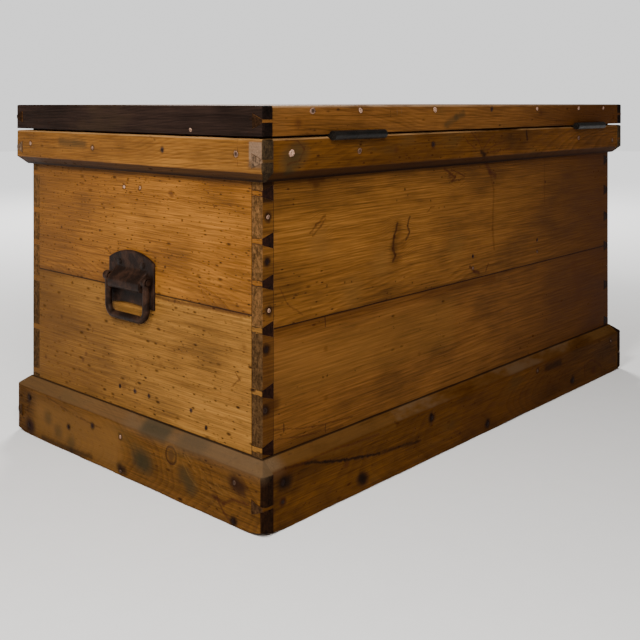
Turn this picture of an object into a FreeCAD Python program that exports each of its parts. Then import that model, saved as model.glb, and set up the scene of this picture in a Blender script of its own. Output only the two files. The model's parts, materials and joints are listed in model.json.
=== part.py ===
import FreeCAD, Part
import math
import os
import Sketcher

# A dovetailed pine tool chest with a plinth, an upper skirt, a rimmed lid on two butt hinges,
# a drop handle at each end and two sliding tills inside. Millimetres, +Z up.
# +X runs along the length to the right-hand end, -Y is the front, +Y the hinged back.
# The origin is on the floor under the middle of the carcase.

# Driving sizes
DRIVING_SIZES = {
    # Carcase
    "body_length": 950.0,
    "body_width": 530.0,
    "body_height": 474.0,
    "board_thick": 19.0,
    "end_seam_height": 233.0,
    "back_seam_height": 216.0,
    "pin_wide": 20.0,
    "pin_narrow": 8.0,
    # Bottom
    "bottom_thick": 16.0,
    "bottom_gap": 0.8,
    "batten_thick": 12.0,
    "batten_width": 70.0,
    "batten_end_gap": 1.0,
    "batten_spacing": 180.0,
    # Plinth
    "plinth_thick": 19.0,
    "plinth_height": 87.0,
    "plinth_bevel_height": 13.5,
    "plinth_bevel_depth": 17.0,
    # Upper skirt
    "skirt_thick": 19.0,
    "skirt_height": 53.7,
    "skirt_drop": 20.5,
    "skirt_bevel_height": 12.5,
    "skirt_bevel_depth": 13.0,
    "skirt_round": 4.0,
    # Lid
    "lid_board_thick": 19.7,
    "lid_seat_gap": 0.3,
    "rim_height": 37.8,
    "rim_clearance": 1.5,
    "rim_round": 3.0,
    "tongue_depth": 7.0,
    "tongue_thick": 6.0,
    "tongue_play": 0.4,
    # Corner joint of the plinth, the skirt and the rim
    "frame_pin_wide": 18.0,
    "frame_pin_narrow": 3.5,
    # Hinges
    "hinge_length": 107.0,
    "right_hinge_inset": 154.5,
    "left_hinge_inset": 128.6,
    "barrel_radius": 6.2,
    "barrel_clearance": 0.3,
    "hinge_pin_radius": 2.4,
    "hinge_pin_clearance": 0.05,
    "knuckle_gap": 0.3,
    "leaf_thick": 2.2,
    "leaf_gap": 0.3,
    "leaf_reach": 17.0,
    # Wood screws of the hinges and the handles
    "screw_head_radius": 3.5,
    "screw_shank_radius": 1.7,
    "screw_length": 12.0,
    "screw_clearance": 0.1,
    "round_head_radius": 4.6,
    "round_head_brim": 1.1,
    "round_head_crown_radius": 3.2,
    "round_head_height": 2.0,
    "sunk_head_radius": 4.3,
    # Handles
    "pivot_height": 277.0,
    "pivot_stand": 10.3,
    "plate_width": 105.0,
    "plate_thick": 3.0,
    "plate_shoulder_rise": 25.0,
    "plate_dome_rise": 14.0,
    "plate_foot_drop": 39.0,
    "plate_arch_rise": 7.0,
    "plate_arch_width": 92.0,
    "hood_length": 75.0,
    "hood_radius": 7.3,
    "hood_drop": 8.7,
    "hood_rise": 14.0,
    "bail_width": 98.0,
    "bail_drop": 60.0,
    "bail_bar_radius": 4.8,
    "bail_corner_radius": 13.0,
    "bail_stand": 8.8,
    "eye_radius": 7.0,
    "eye_width": 10.8,
    "handle_pin_radius": 3.0,
    "handle_pin_clearance": 0.06,
    "handle_pin_head_radius": 4.4,
    "handle_pin_head_thick": 1.4,
    "handle_pin_head_gap": 0.3,
    "upper_screw_rise": 20.0,
    "upper_screw_offset": 27.0,
    "lower_screw_drop": 27.0,
    "lower_screw_offset": 44.0,
    # Partitions under the tills
    "partition_thick": 12.0,
    "partition_height": 262.0,
    "right_partition_inset": 467.0,
    "left_partition_inset": 279.0,
    # Till runners
    "lower_runner_base": 270.0,
    "lower_runner_thick": 24.0,
    "lower_runner_height": 22.0,
    "upper_runner_thick": 12.0,
    "upper_runner_height": 95.0,
    # Tills
    "till_width": 230.0,
    "upper_till_height": 72.0,
    "lower_till_height": 85.0,
    "till_wall": 9.0,
    "till_bottom": 6.0,
    "till_end_gap": 1.5,
    "till_back_gap": 1.5,
    "till_seat_gap": 0.3,
    "till_pin_wide": 11.0,
    "till_pin_narrow": 5.0,
    # Lock
    "lock_width": 80.0,
    "lock_depth": 14.0,
    "lock_height": 55.0,
    "strike_thick": 2.0,
    "prong_spacing": 44.0,
    "prong_width": 12.0,
    "prong_thick": 3.4,
    "prong_drop": 12.0,
    "slot_clearance": 0.8,
    "key_drop": 30.0,
    "key_radius": 3.5,
    "key_slot_width": 3.0,
    "key_slot_drop": 11.0,
    "key_depth": 6.0,
}

# Places of the dovetail pins up a corner, as shares of the height
CARCASE_PIN_SHARES = (0.0, 0.1445, 0.2932, 0.4557, 0.5781, 0.6878, 0.8127, 0.9156, 1.0)
TILL_PIN_SHARES = (0.0, 0.34, 0.67, 1.0)

# Height of the one pin in a frame's corner, as a share of the frame's height
PLINTH_PIN_SHARE = 0.4
SKIRT_PIN_SHARE = 0.5
RIM_PIN_SHARE = 0.5

# Places across the lid where its three boards meet, as shares of the panel's width
LID_SEAM_SHARES = (0.34, 0.67)

# Places of a hinge leaf's screws along it, as shares of its length from the middle
LEAF_SCREW_SHARES = (-0.38, 0.0, 0.38)

BOTTOM_BOARD_COUNT = 6
KNUCKLE_COUNT = 5

# Sides of the small round things, which keep the model light
BAR_SIDES = 8
BARREL_SIDES = 18
EYE_SIDES = 16
HEAD_SIDES = 12
SHANK_SIDES = 6

# Turn of the bail's bar at each lower corner, in degrees
BEND_ANGLE = 90

RIGHT = 1
LEFT = -1
SIDE_NAMES = {RIGHT: "right", LEFT: "left"}

# Sketch planes: the origin plane's role and the sign of its normal along the axis
PLANES = {"XY": ("XY_Plane", 1), "XZ": ("XZ_Plane", -1), "YZ": ("YZ_Plane", 1)}

document = FreeCAD.newDocument("fitted_chest")
sheet = document.addObject("Spreadsheet::Sheet", "Sizes")
sub_parts = []


class Size:
    """A length that keeps its number together with its expression on the sheet."""

    def __init__(self, number, text):
        self.number = number
        self.text = text

    def __add__(self, other):
        other = sized(other)
        return Size(self.number + other.number, f"({self.text} + {other.text})")

    def __radd__(self, other):
        return sized(other) + self

    def __sub__(self, other):
        other = sized(other)
        return Size(self.number - other.number, f"({self.text} - {other.text})")

    def __rsub__(self, other):
        return sized(other) - self

    def __mul__(self, other):
        other = sized(other)
        return Size(self.number * other.number, f"({self.text} * {other.text})")

    def __rmul__(self, other):
        return sized(other) * self

    def __truediv__(self, other):
        other = sized(other)
        return Size(self.number / other.number, f"({self.text} / {other.text})")

    def __neg__(self):
        return Size(-self.number, f"(-1 * {self.text})")


class Disc:
    """A true circle in a sketch."""

    def __init__(self, u, v, radius):
        self.u = sized(u)
        self.v = sized(v)
        self.radius = sized(radius)


def sized(value):
    """Makes a Size of a plain number, and leaves a Size as it is."""
    if isinstance(value, Size):
        return value
    return Size(float(value), f"({value!r})")


def fill_sheet():
    """Writes each driving size into the sheet and returns them all by name."""
    named = {}
    for row, (name, value) in enumerate(DRIVING_SIZES.items(), start=1):
        sheet.set(f"A{row}", name)
        sheet.set(f"B{row}", str(value))
        sheet.setAlias(f"B{row}", name)
        named[name] = Size(value, f"Sizes.{name}")
    document.recompute()
    return named


def tie(item, place, size):
    """Binds one property or constraint to its expression."""
    item.setExpression(place, sized(size).text)


def tie_point(sketch, element, end, u, v):
    """Holds one end of an element at (u, v) from the sketch's origin."""
    across = Sketcher.Constraint("DistanceX", -1, 1, element, end, u.number)
    tie(sketch, f"Constraints[{sketch.addConstraint(across)}]", u)
    up = Sketcher.Constraint("DistanceY", -1, 1, element, end, v.number)
    tie(sketch, f"Constraints[{sketch.addConstraint(up)}]", v)


def arc_through(start, finish, radius, turn):
    """The arc from start to finish, to the left (turn 1) or to the right (turn -1)."""
    chord = finish - start
    left = FreeCAD.Vector(-chord.y, chord.x, 0).normalize()
    sag = radius - math.sqrt(max(radius ** 2 - (chord.Length / 2) ** 2, 0.0))
    middle = (start + finish) / 2 - left * sag * turn
    return Part.Arc(start, middle, finish)


def draw(sketch, outline):
    """Draws a closed outline. Each step is (u, v), or (u, v, radius, turn) for an arc that ends there."""
    if isinstance(outline, Disc):
        centre = FreeCAD.Vector(outline.u.number, outline.v.number, 0)
        shape = Part.Circle(centre, FreeCAD.Vector(0, 0, 1), outline.radius.number)
        circle = sketch.addGeometry(shape)
        tie_point(sketch, circle, 3, outline.u, outline.v)
        held = sketch.addConstraint(Sketcher.Constraint("Radius", circle, outline.radius.number))
        tie(sketch, f"Constraints[{held}]", outline.radius)
        return
    steps = [(sized(step[0]), sized(step[1]), *step[2:]) for step in outline]
    points = [FreeCAD.Vector(step[0].number, step[1].number, 0) for step in steps]
    elements = []
    for index in range(len(steps)):
        following = (index + 1) % len(steps)
        if len(steps[following]) == 2:
            line = Part.LineSegment(points[index], points[following])
            elements.append((sketch.addGeometry(line), 1, 2))
            continue
        radius = sized(steps[following][2])
        turn = steps[following][3]
        arc = sketch.addGeometry(arc_through(points[index], points[following], radius.number, turn))
        held = sketch.addConstraint(Sketcher.Constraint("Radius", arc, radius.number))
        tie(sketch, f"Constraints[{held}]", radius)
        elements.append((arc, 1, 2) if turn > 0 else (arc, 2, 1))
    for index, (element, leaving, arriving) in enumerate(elements):
        tie_point(sketch, element, leaving, steps[index][0], steps[index][1])
        following = elements[(index + 1) % len(elements)]
        joint = Sketcher.Constraint("Coincident", element, arriving, following[0], following[1])
        sketch.addConstraint(joint)


def new_body(label):
    """A sub-part or a helping solid that is made of sketches."""
    body = document.addObject("PartDesign::Body", label)
    body.Label = label
    return body


def new_sketch(body, plane, place):
    """A sketch on one of the body's own origin planes, moved along its normal."""
    role, sense = PLANES[plane]
    sketch = body.newObject("Sketcher::SketchObject", f"{body.Name}_sketch")
    support = [item for item in body.Origin.OriginFeatures if item.Role == role][0]
    sketch.AttachmentSupport = [(support, "")]
    sketch.MapMode = "FlatFace"
    tie(sketch, "AttachmentOffset.Base.z", sized(place) * sense)
    return sketch


def prism(body, kind, plane, outlines, low, high):
    """Adds (Pad) or cuts (Pocket) the outlines between two places along the plane's normal."""
    sketch = new_sketch(body, plane, (low + high) / 2)
    for outline in outlines:
        draw(sketch, outline)
    feature = body.newObject(f"PartDesign::{kind}", f"{body.Name}_{kind.lower()}")
    feature.Profile = sketch
    feature.SideType = "Symmetric"
    tie(feature, "Length", high - low)


def rectangle(u_low, u_high, v_low, v_high):
    """The four corners of a rectangle."""
    return [(u_low, v_low), (u_high, v_low), (u_high, v_high), (u_low, v_high)]


def span(side, near, far):
    """Two distances out from the middle as (low, high) on the right or the left side."""
    if side == RIGHT:
        return near, far
    return -far, -near


def rounded(u, v, radius, sides):
    """A regular outline of a few sides about a place."""
    turns = [math.tau * index / sides for index in range(sides)]
    return [(u + radius * math.cos(turn), v + radius * math.sin(turn)) for turn in turns]


def box(label, x_span, y_span, z_span):
    """A plain squared board."""
    item = document.addObject("Part::Box", label)
    item.Label = label
    names = ("Length", "Width", "Height")
    for name, axis, (low, high) in zip(names, "xyz", (x_span, y_span, z_span)):
        tie(item, name, sized(high) - low)
        tie(item, f"Placement.Base.{axis}", low)
    return item


def boolean(kind, label, base, tool):
    """A Part::Common, Part::Cut or Part::Fuse of two solids."""
    item = document.addObject(f"Part::{kind}", label)
    item.Label = label
    item.Base = base
    item.Tool = tool
    return item


def group(label, items):
    """Several like pieces kept together as separate solids."""
    item = document.addObject("Part::Compound", label)
    item.Label = label
    item.Links = items
    return item


def keep(item):
    """Counts an object as a sub-part of the chest."""
    sub_parts.append(item)
    return item


size = fill_sheet()

# Levels, from the floor up
carcase_base = size["batten_thick"] + size["bottom_thick"]
carcase_top = carcase_base + size["body_height"]
skirt_top = carcase_top - size["skirt_drop"]
skirt_base = skirt_top - size["skirt_height"]
lid_base = carcase_top + size["lid_seat_gap"]
lid_top = lid_base + size["lid_board_thick"]
rim_base = lid_top - size["rim_height"]
end_seam = carcase_base + size["end_seam_height"]
back_seam = carcase_base + size["back_seam_height"]

# Half sizes out from the middle
half_length = size["body_length"] / 2
half_width = size["body_width"] / 2
inner_length = half_length - size["board_thick"]
inner_width = half_width - size["board_thick"]
skirt_half_length = half_length + size["skirt_thick"]
skirt_half_width = half_width + size["skirt_thick"]
plinth_half_length = half_length + size["plinth_thick"]
plinth_half_width = half_width + size["plinth_thick"]
rim_inner_length = half_length + size["rim_clearance"]
rim_inner_width = half_width + size["rim_clearance"]

# Hinge axis: outside the back, half way up the seam between the skirt and the rim
seam = rim_base - skirt_top
hinge_height = (skirt_top + rim_base) / 2
hinge_axis_y = skirt_half_width + size["barrel_radius"] + size["barrel_clearance"]
leaf_inner_y = skirt_half_width - size["leaf_reach"]
leaf_screw_y = (leaf_inner_y + skirt_half_width) / 2
leaf_recess = size["leaf_thick"] + size["leaf_gap"] / 2 - seam / 2
hinge_centres = {
    RIGHT: half_length - size["right_hinge_inset"],
    LEFT: -(half_length - size["left_hinge_inset"]),
}

# Handle places, out from the end's face and up from the floor
pivot_x = half_length + size["pivot_stand"]
pivot_z = size["pivot_height"]
plate_face_x = half_length + size["plate_thick"]
bail_arm = size["bail_width"] / 2 - size["bail_bar_radius"]
eye_outer = bail_arm + size["eye_width"] / 2
eye_inner = bail_arm - size["eye_width"] / 2
upper_screw_places = [
    (across * size["upper_screw_offset"], pivot_z + size["upper_screw_rise"]) for across in (-1, 1)
]
lower_screw_places = [
    (across * size["lower_screw_offset"], pivot_z - size["lower_screw_drop"]) for across in (-1, 1)
]
handle_screw_places = upper_screw_places + lower_screw_places
screw_hole_radius = size["screw_shank_radius"] + size["screw_clearance"]
screw_hole_depth = size["screw_length"] + size["screw_clearance"]

# Lock places
lock_half = size["lock_width"] / 2
lock_outer_y = -(inner_width + size["lock_depth"])
lock_middle_y = -(inner_width + size["lock_depth"] / 2)
lock_base = carcase_top - size["lock_height"]
key_height = carcase_top - size["key_drop"]


def pin_levels(low, high, shares):
    """Heights of the pins' middles up a corner."""
    return [low + (high - low) * share for share in shares]


def pin_outlines(outer, inner, levels, wide, narrow):
    """End grain of the pins on a tail board's face: wide at the shoulder, narrow at the corner."""
    return [
        [
            (inner, level - wide / 2),
            (outer, level - narrow / 2),
            (outer, level + narrow / 2),
            (inner, level + wide / 2),
        ]
        for level in levels
    ]


def socket_outlines(outer, inner, levels, wide, narrow):
    """The spaces between neighbouring pins, which the tails fill."""
    return [
        [
            (inner, lower + wide / 2),
            (outer, lower + narrow / 2),
            (outer, upper - narrow / 2),
            (inner, upper - wide / 2),
        ]
        for lower, upper in zip(levels, levels[1:])
    ]


def tail_board(label, outer_x, thick, y_span, z_span, pins):
    """A long board with tails at both ends, cut out round the end boards' pins."""
    levels, wide, narrow = pins
    body = new_body(label)
    prism(body, "Pad", "XZ", [rectangle(-outer_x, outer_x, *z_span)], *y_span)
    for side in (RIGHT, LEFT):
        outlines = pin_outlines(side * outer_x, side * (outer_x - thick), levels, wide, narrow)
        prism(body, "Pocket", "XZ", outlines, *y_span)
    return body


def pin_board(label, side, outer_x, thick, y_span, z_span, pins):
    """An end board with pins at both ends, between which the long boards' tails lie."""
    levels, wide, narrow = pins
    low_y, high_y = y_span
    body = new_body(label)
    x_span = span(side, outer_x - thick, outer_x)
    prism(body, "Pad", "YZ", [rectangle(low_y, high_y, *z_span)], *x_span)
    outlines = socket_outlines(side * outer_x, side * (outer_x - thick), levels, wide, narrow)
    prism(body, "Pocket", "XZ", outlines, low_y, low_y + thick)
    prism(body, "Pocket", "XZ", outlines, high_y - thick, high_y)
    return body


def make_carcase():
    """Two boards a side, dovetailed at the corners, with the seams at different heights."""
    levels = pin_levels(carcase_base, carcase_top, CARCASE_PIN_SHARES)
    pins = (levels, size["pin_wide"], size["pin_narrow"])
    thick = size["board_thick"]
    boards = {}
    for place, y_span in (("back", (inner_width, half_width)), ("front", (-half_width, -inner_width))):
        for part, z_span in (("lower", (carcase_base, back_seam)), ("upper", (back_seam, carcase_top))):
            label = f"{place}_board_{part}"
            boards[label] = keep(tail_board(label, half_length, thick, y_span, z_span, pins))
    holes = [rounded(across, up, screw_hole_radius, SHANK_SIDES) for across, up in handle_screw_places]
    for side, name in SIDE_NAMES.items():
        for part, z_span in (("lower", (carcase_base, end_seam)), ("upper", (end_seam, carcase_top))):
            label = f"{name}_end_board_{part}"
            y_span = (-half_width, half_width)
            board = pin_board(label, side, half_length, thick, y_span, z_span, pins)
            depth = span(side, plate_face_x - screw_hole_depth, half_length)
            prism(board, "Pocket", "YZ", holes, *depth)
            keep(board)
    return boards


def make_bottom():
    """Boards from front to back under the carcase, on battens that run along it."""
    pitch = size["body_length"] / BOTTOM_BOARD_COUNT
    boards = []
    for index in range(BOTTOM_BOARD_COUNT):
        low = -half_length + pitch * index
        if index > 0:
            low = low + size["bottom_gap"] / 2
        high = -half_length + pitch * (index + 1)
        if index < BOTTOM_BOARD_COUNT - 1:
            high = high - size["bottom_gap"] / 2
        label = f"bottom_board_{index + 1}"
        boards.append(box(label, (low, high), (-half_width, half_width), (size["batten_thick"], carcase_base)))
    keep(group("bottom_boards", boards))
    reach = half_length - size["batten_end_gap"]
    battens = []
    for place in (-1, 0, 1):
        middle = size["batten_spacing"] * place
        y_span = (middle - size["batten_width"] / 2, middle + size["batten_width"] / 2)
        battens.append(box(f"bottom_batten_{place + 2}", (-reach, reach), y_span, (0, size["batten_thick"])))
    keep(group("bottom_battens", battens))


def moulded_section(half, low, high, foot, head, rounding):
    """Section through a frame: half its width, a bevel at the foot or the head, or a rounded top."""
    foot_height, foot_depth = foot
    if rounding is not None:
        return [
            (-half + foot_depth, low),
            (half - foot_depth, low),
            (half, low + foot_height),
            (half, high - rounding),
            (half - rounding, high, rounding, 1),
            (-half + rounding, high),
            (-half, high - rounding, rounding, 1),
            (-half, low + foot_height),
        ]
    head_height, head_depth = head
    return [
        (-half, low),
        (half, low),
        (half, high - head_height),
        (half - head_depth, high),
        (-half + head_depth, high),
        (-half, high - head_height),
    ]


def square_section(half, low, high, rounding):
    """Section through the lid's rim: square below, rounded along the top edges."""
    return [
        (-half, low),
        (half, low),
        (half, high - rounding),
        (half - rounding, high, rounding, 1),
        (-half + rounding, high),
        (-half, high - rounding, rounding, 1),
    ]


def moulded_block(name, half_x, half_y, section):
    """One block with the frame's section along both its sides, so that the corners mitre."""
    across = new_body(f"{name}_across")
    prism(across, "Pad", "XZ", [section(half_x)], -half_y, half_y)
    along = new_body(f"{name}_along")
    prism(along, "Pad", "YZ", [section(half_y)], -half_x, half_x)
    return boolean("Common", f"{name}_block", across, along)


def frame_long_space(name, place, inner, outer, z_span, pin_level):
    """The room that a long board of a frame takes, with its one pin at each end."""
    inner_x, inner_y = inner
    outer_x, outer_y = outer
    wide, narrow = size["frame_pin_wide"], size["frame_pin_narrow"]
    body = new_body(f"{name}_space")
    y_span = (inner_y, outer_y) if place == "back" else (-outer_y, -inner_y)
    sign = 1 if place == "back" else -1
    prism(body, "Pad", "YZ", [rectangle(*y_span, *z_span)], -inner_x, inner_x)
    pin = pin_outlines(sign * outer_y, sign * inner_y, [pin_level], wide, narrow)
    prism(body, "Pad", "YZ", pin, -outer_x, outer_x)
    return body


def frame_end_space(name, side, inner, outer, z_span, pin_level):
    """The room that an end board of a frame takes, notched for the long boards' pins."""
    inner_x, inner_y = inner
    outer_x, outer_y = outer
    wide, narrow = size["frame_pin_wide"], size["frame_pin_narrow"]
    body = new_body(f"{name}_space")
    x_span = span(side, inner_x, outer_x)
    prism(body, "Pad", "YZ", [rectangle(-outer_y, outer_y, *z_span)], *x_span)
    for sign in (1, -1):
        pin = pin_outlines(sign * outer_y, sign * inner_y, [pin_level], wide, narrow)
        prism(body, "Pocket", "YZ", pin, *x_span)
    return body


def make_frame(name, inner, outer, z_span, pin_share, section):
    """Four boards round the chest, joined at each corner by a pin between two half tails."""
    low, high = z_span
    pin_level = low + (high - low) * pin_share
    block = moulded_block(name, *outer, section)
    spaces = {}
    for place in ("front", "back"):
        spaces[place] = frame_long_space(f"{name}_{place}", place, inner, outer, z_span, pin_level)
    for side, side_name in SIDE_NAMES.items():
        label = f"{side_name}_end"
        spaces[label] = frame_end_space(f"{name}_{label}", side, inner, outer, z_span, pin_level)
    for place, space in spaces.items():
        keep(boolean("Common", f"{name}_{place}", block, space))
    return spaces


def keyhole(body, y_span):
    """Cuts the keyhole: a round hole with a slot below it."""
    prism(body, "Pocket", "XZ", [Disc(0, key_height, size["key_radius"])], *y_span)
    half = size["key_slot_width"] / 2
    slot = rectangle(-half, half, key_height - size["key_slot_drop"], key_height)
    prism(body, "Pocket", "XZ", [slot], *y_span)


def hinge_span(side):
    """The two ends of a hinge along the back."""
    centre = hinge_centres[side]
    return centre - size["hinge_length"] / 2, centre + size["hinge_length"] / 2


def leaf_screw_outlines(side, radius, sides):
    """Outlines about the screws of one hinge leaf, seen from above."""
    places = [hinge_centres[side] + size["hinge_length"] * share for share in LEAF_SCREW_SHARES]
    return [rounded(place, leaf_screw_y, radius, sides) for place in places]


def leaf_seat(body, side, z_span, hole_z_span):
    """Lets a hinge leaf into a board and bores for its screws."""
    seat = rectangle(*hinge_span(side), leaf_inner_y, skirt_half_width)
    prism(body, "Pocket", "XY", [seat], *z_span)
    holes = leaf_screw_outlines(side, screw_hole_radius, SHANK_SIDES)
    prism(body, "Pocket", "XY", holes, *hole_z_span)


def make_frames():
    """The plinth, the upper skirt and the lid's rim."""
    plinth_inner = (half_length, half_width)
    plinth_outer = (plinth_half_length, plinth_half_width)
    plinth_bevel = (size["plinth_bevel_height"], size["plinth_bevel_depth"])
    make_frame(
        "plinth", plinth_inner, plinth_outer, (sized(0), size["plinth_height"]), PLINTH_PIN_SHARE,
        lambda half: moulded_section(half, sized(0), size["plinth_height"], (0, 0), plinth_bevel, None),
    )
    skirt_outer = (skirt_half_length, skirt_half_width)
    skirt_bevel = (size["skirt_bevel_height"], size["skirt_bevel_depth"])
    skirt = make_frame(
        "skirt", plinth_inner, skirt_outer, (skirt_base, skirt_top), SKIRT_PIN_SHARE,
        lambda half: moulded_section(half, skirt_base, skirt_top, skirt_bevel, None, size["skirt_round"]),
    )
    keyhole(skirt["front"], (-skirt_half_width, -half_width))
    rim_inner = (rim_inner_length, rim_inner_width)
    rim = make_frame(
        "lid_rim", rim_inner, skirt_outer, (rim_base, lid_top), RIM_PIN_SHARE,
        lambda half: square_section(half, rim_base, lid_top, size["rim_round"]),
    )
    for side in SIDE_NAMES:
        reach = size["leaf_gap"] / 2 + screw_hole_depth
        seat = (skirt_top - leaf_recess, skirt_top)
        leaf_seat(skirt["back"], side, seat, (hinge_height - reach, skirt_top))
        seat = (rim_base, rim_base + leaf_recess)
        leaf_seat(rim["back"], side, seat, (rim_base, hinge_height + reach))


def make_lid_boards():
    """Three tongued and grooved boards along the lid, inside the rim."""
    seams = [-rim_inner_width + rim_inner_width * 2 * share for share in LID_SEAM_SHARES]
    middle = (lid_base + lid_top) / 2
    low_tongue = middle - size["tongue_thick"] / 2
    high_tongue = middle + size["tongue_thick"] / 2
    edges = [-rim_inner_width, *seams, rim_inner_width]
    names = ("lid_board_front", "lid_board_middle", "lid_board_back")
    for index, name in enumerate(names):
        low, high = edges[index], edges[index + 1]
        outline = [(low, lid_base), (high, lid_base)]
        if index < len(names) - 1:
            tip = high + size["tongue_depth"]
            outline += [(high, low_tongue), (tip, low_tongue), (tip, high_tongue), (high, high_tongue)]
        outline += [(high, lid_top), (low, lid_top)]
        if index > 0:
            root = low + size["tongue_depth"] + size["tongue_play"]
            outline += [(low, high_tongue), (root, high_tongue), (root, low_tongue), (low, low_tongue)]
        board = keep(new_body(name))
        prism(board, "Pad", "YZ", [outline], -rim_inner_length, rim_inner_length)
        if index == 0:
            recess = rectangle(-lock_half, lock_half, lock_outer_y, -inner_width)
            prism(board, "Pocket", "XY", [recess], lid_base, lid_base + size["strike_thick"])


def make_partitions():
    """Two upright partitions that divide the room under the tills."""
    half = size["partition_thick"] / 2
    places = {
        "right": half_length - size["right_partition_inset"],
        "left": -(half_length - size["left_partition_inset"]),
    }
    z_span = (carcase_base, carcase_base + size["partition_height"])
    for name, middle in places.items():
        keep(box(f"{name}_partition", (middle - half, middle + half), (-inner_width, inner_width), z_span))


def make_tills():
    """Stepped runners on both ends, and the two sliding tills that lie on them."""
    lower_base = carcase_base + size["lower_runner_base"]
    lower_top = lower_base + size["lower_runner_height"]
    upper_top = lower_top + size["upper_runner_height"]
    y_span = (-inner_width, inner_width)
    for side, name in SIDE_NAMES.items():
        x_span = span(side, inner_length - size["lower_runner_thick"], inner_length)
        keep(box(f"{name}_lower_runner", x_span, y_span, (lower_base, lower_top)))
        x_span = span(side, inner_length - size["upper_runner_thick"], inner_length)
        keep(box(f"{name}_upper_runner", x_span, y_span, (lower_top, upper_top)))
    lower_half = inner_length - size["upper_runner_thick"] - size["till_end_gap"]
    make_till("lower_till", lower_half, lower_top + size["till_seat_gap"], size["lower_till_height"])
    upper_half = inner_length - size["till_end_gap"]
    make_till("upper_till", upper_half, upper_top + size["till_seat_gap"], size["upper_till_height"])


def make_till(name, half_x, base, height):
    """An open tray: four dovetailed walls on a thin bottom board."""
    back = inner_width - size["till_back_gap"]
    front = back - size["till_width"]
    floor = base + size["till_bottom"]
    top = base + height
    wall = size["till_wall"]
    levels = pin_levels(floor, top, TILL_PIN_SHARES)
    pins = (levels, size["till_pin_wide"], size["till_pin_narrow"])
    keep(tail_board(f"{name}_back", half_x, wall, (back - wall, back), (floor, top), pins))
    keep(tail_board(f"{name}_front", half_x, wall, (front, front + wall), (floor, top), pins))
    for side, side_name in SIDE_NAMES.items():
        label = f"{name}_{side_name}_end"
        keep(pin_board(label, side, half_x, wall, (front, back), (floor, top), pins))
    keep(box(f"{name}_bottom", (-half_x, half_x), (front, back), (base, floor)))


def make_lock(front_board):
    """A chest lock let into the front board, its strike under the lid, and the keyhole."""
    x_span = (-lock_half, lock_half)
    y_span = (lock_outer_y, -inner_width)
    recess = [rectangle(*x_span, *y_span)]
    prism(front_board, "Pocket", "XY", recess, lock_base, carcase_top)
    keyhole(front_board, (-half_width, lock_outer_y))
    case = keep(new_body("lock_case"))
    prism(case, "Pad", "XY", recess, lock_base, carcase_top)
    keyhole(case, (lock_outer_y, lock_outer_y + size["key_depth"]))
    strike = keep(new_body("lock_strike"))
    prism(strike, "Pad", "XY", recess, lid_base, lid_base + size["strike_thick"])
    slot_half_x = size["prong_width"] / 2 + size["slot_clearance"]
    slot_half_y = size["prong_thick"] / 2 + size["slot_clearance"]
    slots = []
    prongs = []
    for side in SIDE_NAMES:
        middle = side * size["prong_spacing"] / 2
        slots.append(rectangle(
            middle - slot_half_x, middle + slot_half_x, lock_middle_y - slot_half_y, lock_middle_y + slot_half_y,
        ))
        prongs.append(rectangle(
            middle - size["prong_width"] / 2, middle + size["prong_width"] / 2,
            lock_middle_y - size["prong_thick"] / 2, lock_middle_y + size["prong_thick"] / 2,
        ))
    prong_base = lid_base - size["prong_drop"]
    prism(case, "Pocket", "XY", slots, prong_base - size["slot_clearance"], carcase_top)
    prism(strike, "Pad", "XY", prongs, prong_base, lid_base)


def screw_body(label):
    """An empty group of screws, kept apart as separate solids."""
    body = new_body(label)
    body.AllowCompound = True
    return body


def make_hinge_leaf(label, side, own_first, z_span):
    """One leaf of a butt hinge: a let-in plate with its own knuckles round the pin."""
    low_x, high_x = hinge_span(side)
    pitch = size["hinge_length"] / KNUCKLE_COUNT
    body = keep(new_body(label))
    prism(body, "Pad", "XY", [rectangle(low_x, high_x, leaf_inner_y, skirt_half_width)], *z_span)
    for index in range(own_first, KNUCKLE_COUNT, 2):
        low = low_x + pitch * index
        high = low + pitch
        if index > 0:
            low = low + size["knuckle_gap"] / 2
        if index < KNUCKLE_COUNT - 1:
            high = high - size["knuckle_gap"] / 2
        prism(body, "Pad", "XY", [rectangle(low, high, skirt_half_width, hinge_axis_y)], *z_span)
        barrel = rounded(hinge_axis_y, hinge_height, size["barrel_radius"], BARREL_SIDES)
        prism(body, "Pad", "YZ", [barrel], low, high)
    bore_radius = size["hinge_pin_radius"] + size["hinge_pin_clearance"]
    prism(body, "Pocket", "YZ", [Disc(hinge_axis_y, hinge_height, bore_radius)], low_x, high_x)
    seat_radius = size["screw_head_radius"] + size["screw_clearance"]
    seats = leaf_screw_outlines(side, seat_radius, HEAD_SIDES)
    prism(body, "Pocket", "XY", seats, *z_span)


def make_hinge_screws(body, z_span, sense):
    """The flush screws of the leaves that lie in one body, pointing up or down into the wood."""
    low, high = z_span
    for side in SIDE_NAMES:
        heads = leaf_screw_outlines(side, size["screw_head_radius"], HEAD_SIDES)
        prism(body, "Pad", "XY", heads, low, high)
        shanks = leaf_screw_outlines(side, size["screw_shank_radius"], SHANK_SIDES)
        tip = low + size["screw_length"] if sense > 0 else high - size["screw_length"]
        shank_span = (high, tip) if sense > 0 else (tip, low)
        prism(body, "Pad", "XY", shanks, *shank_span)


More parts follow.
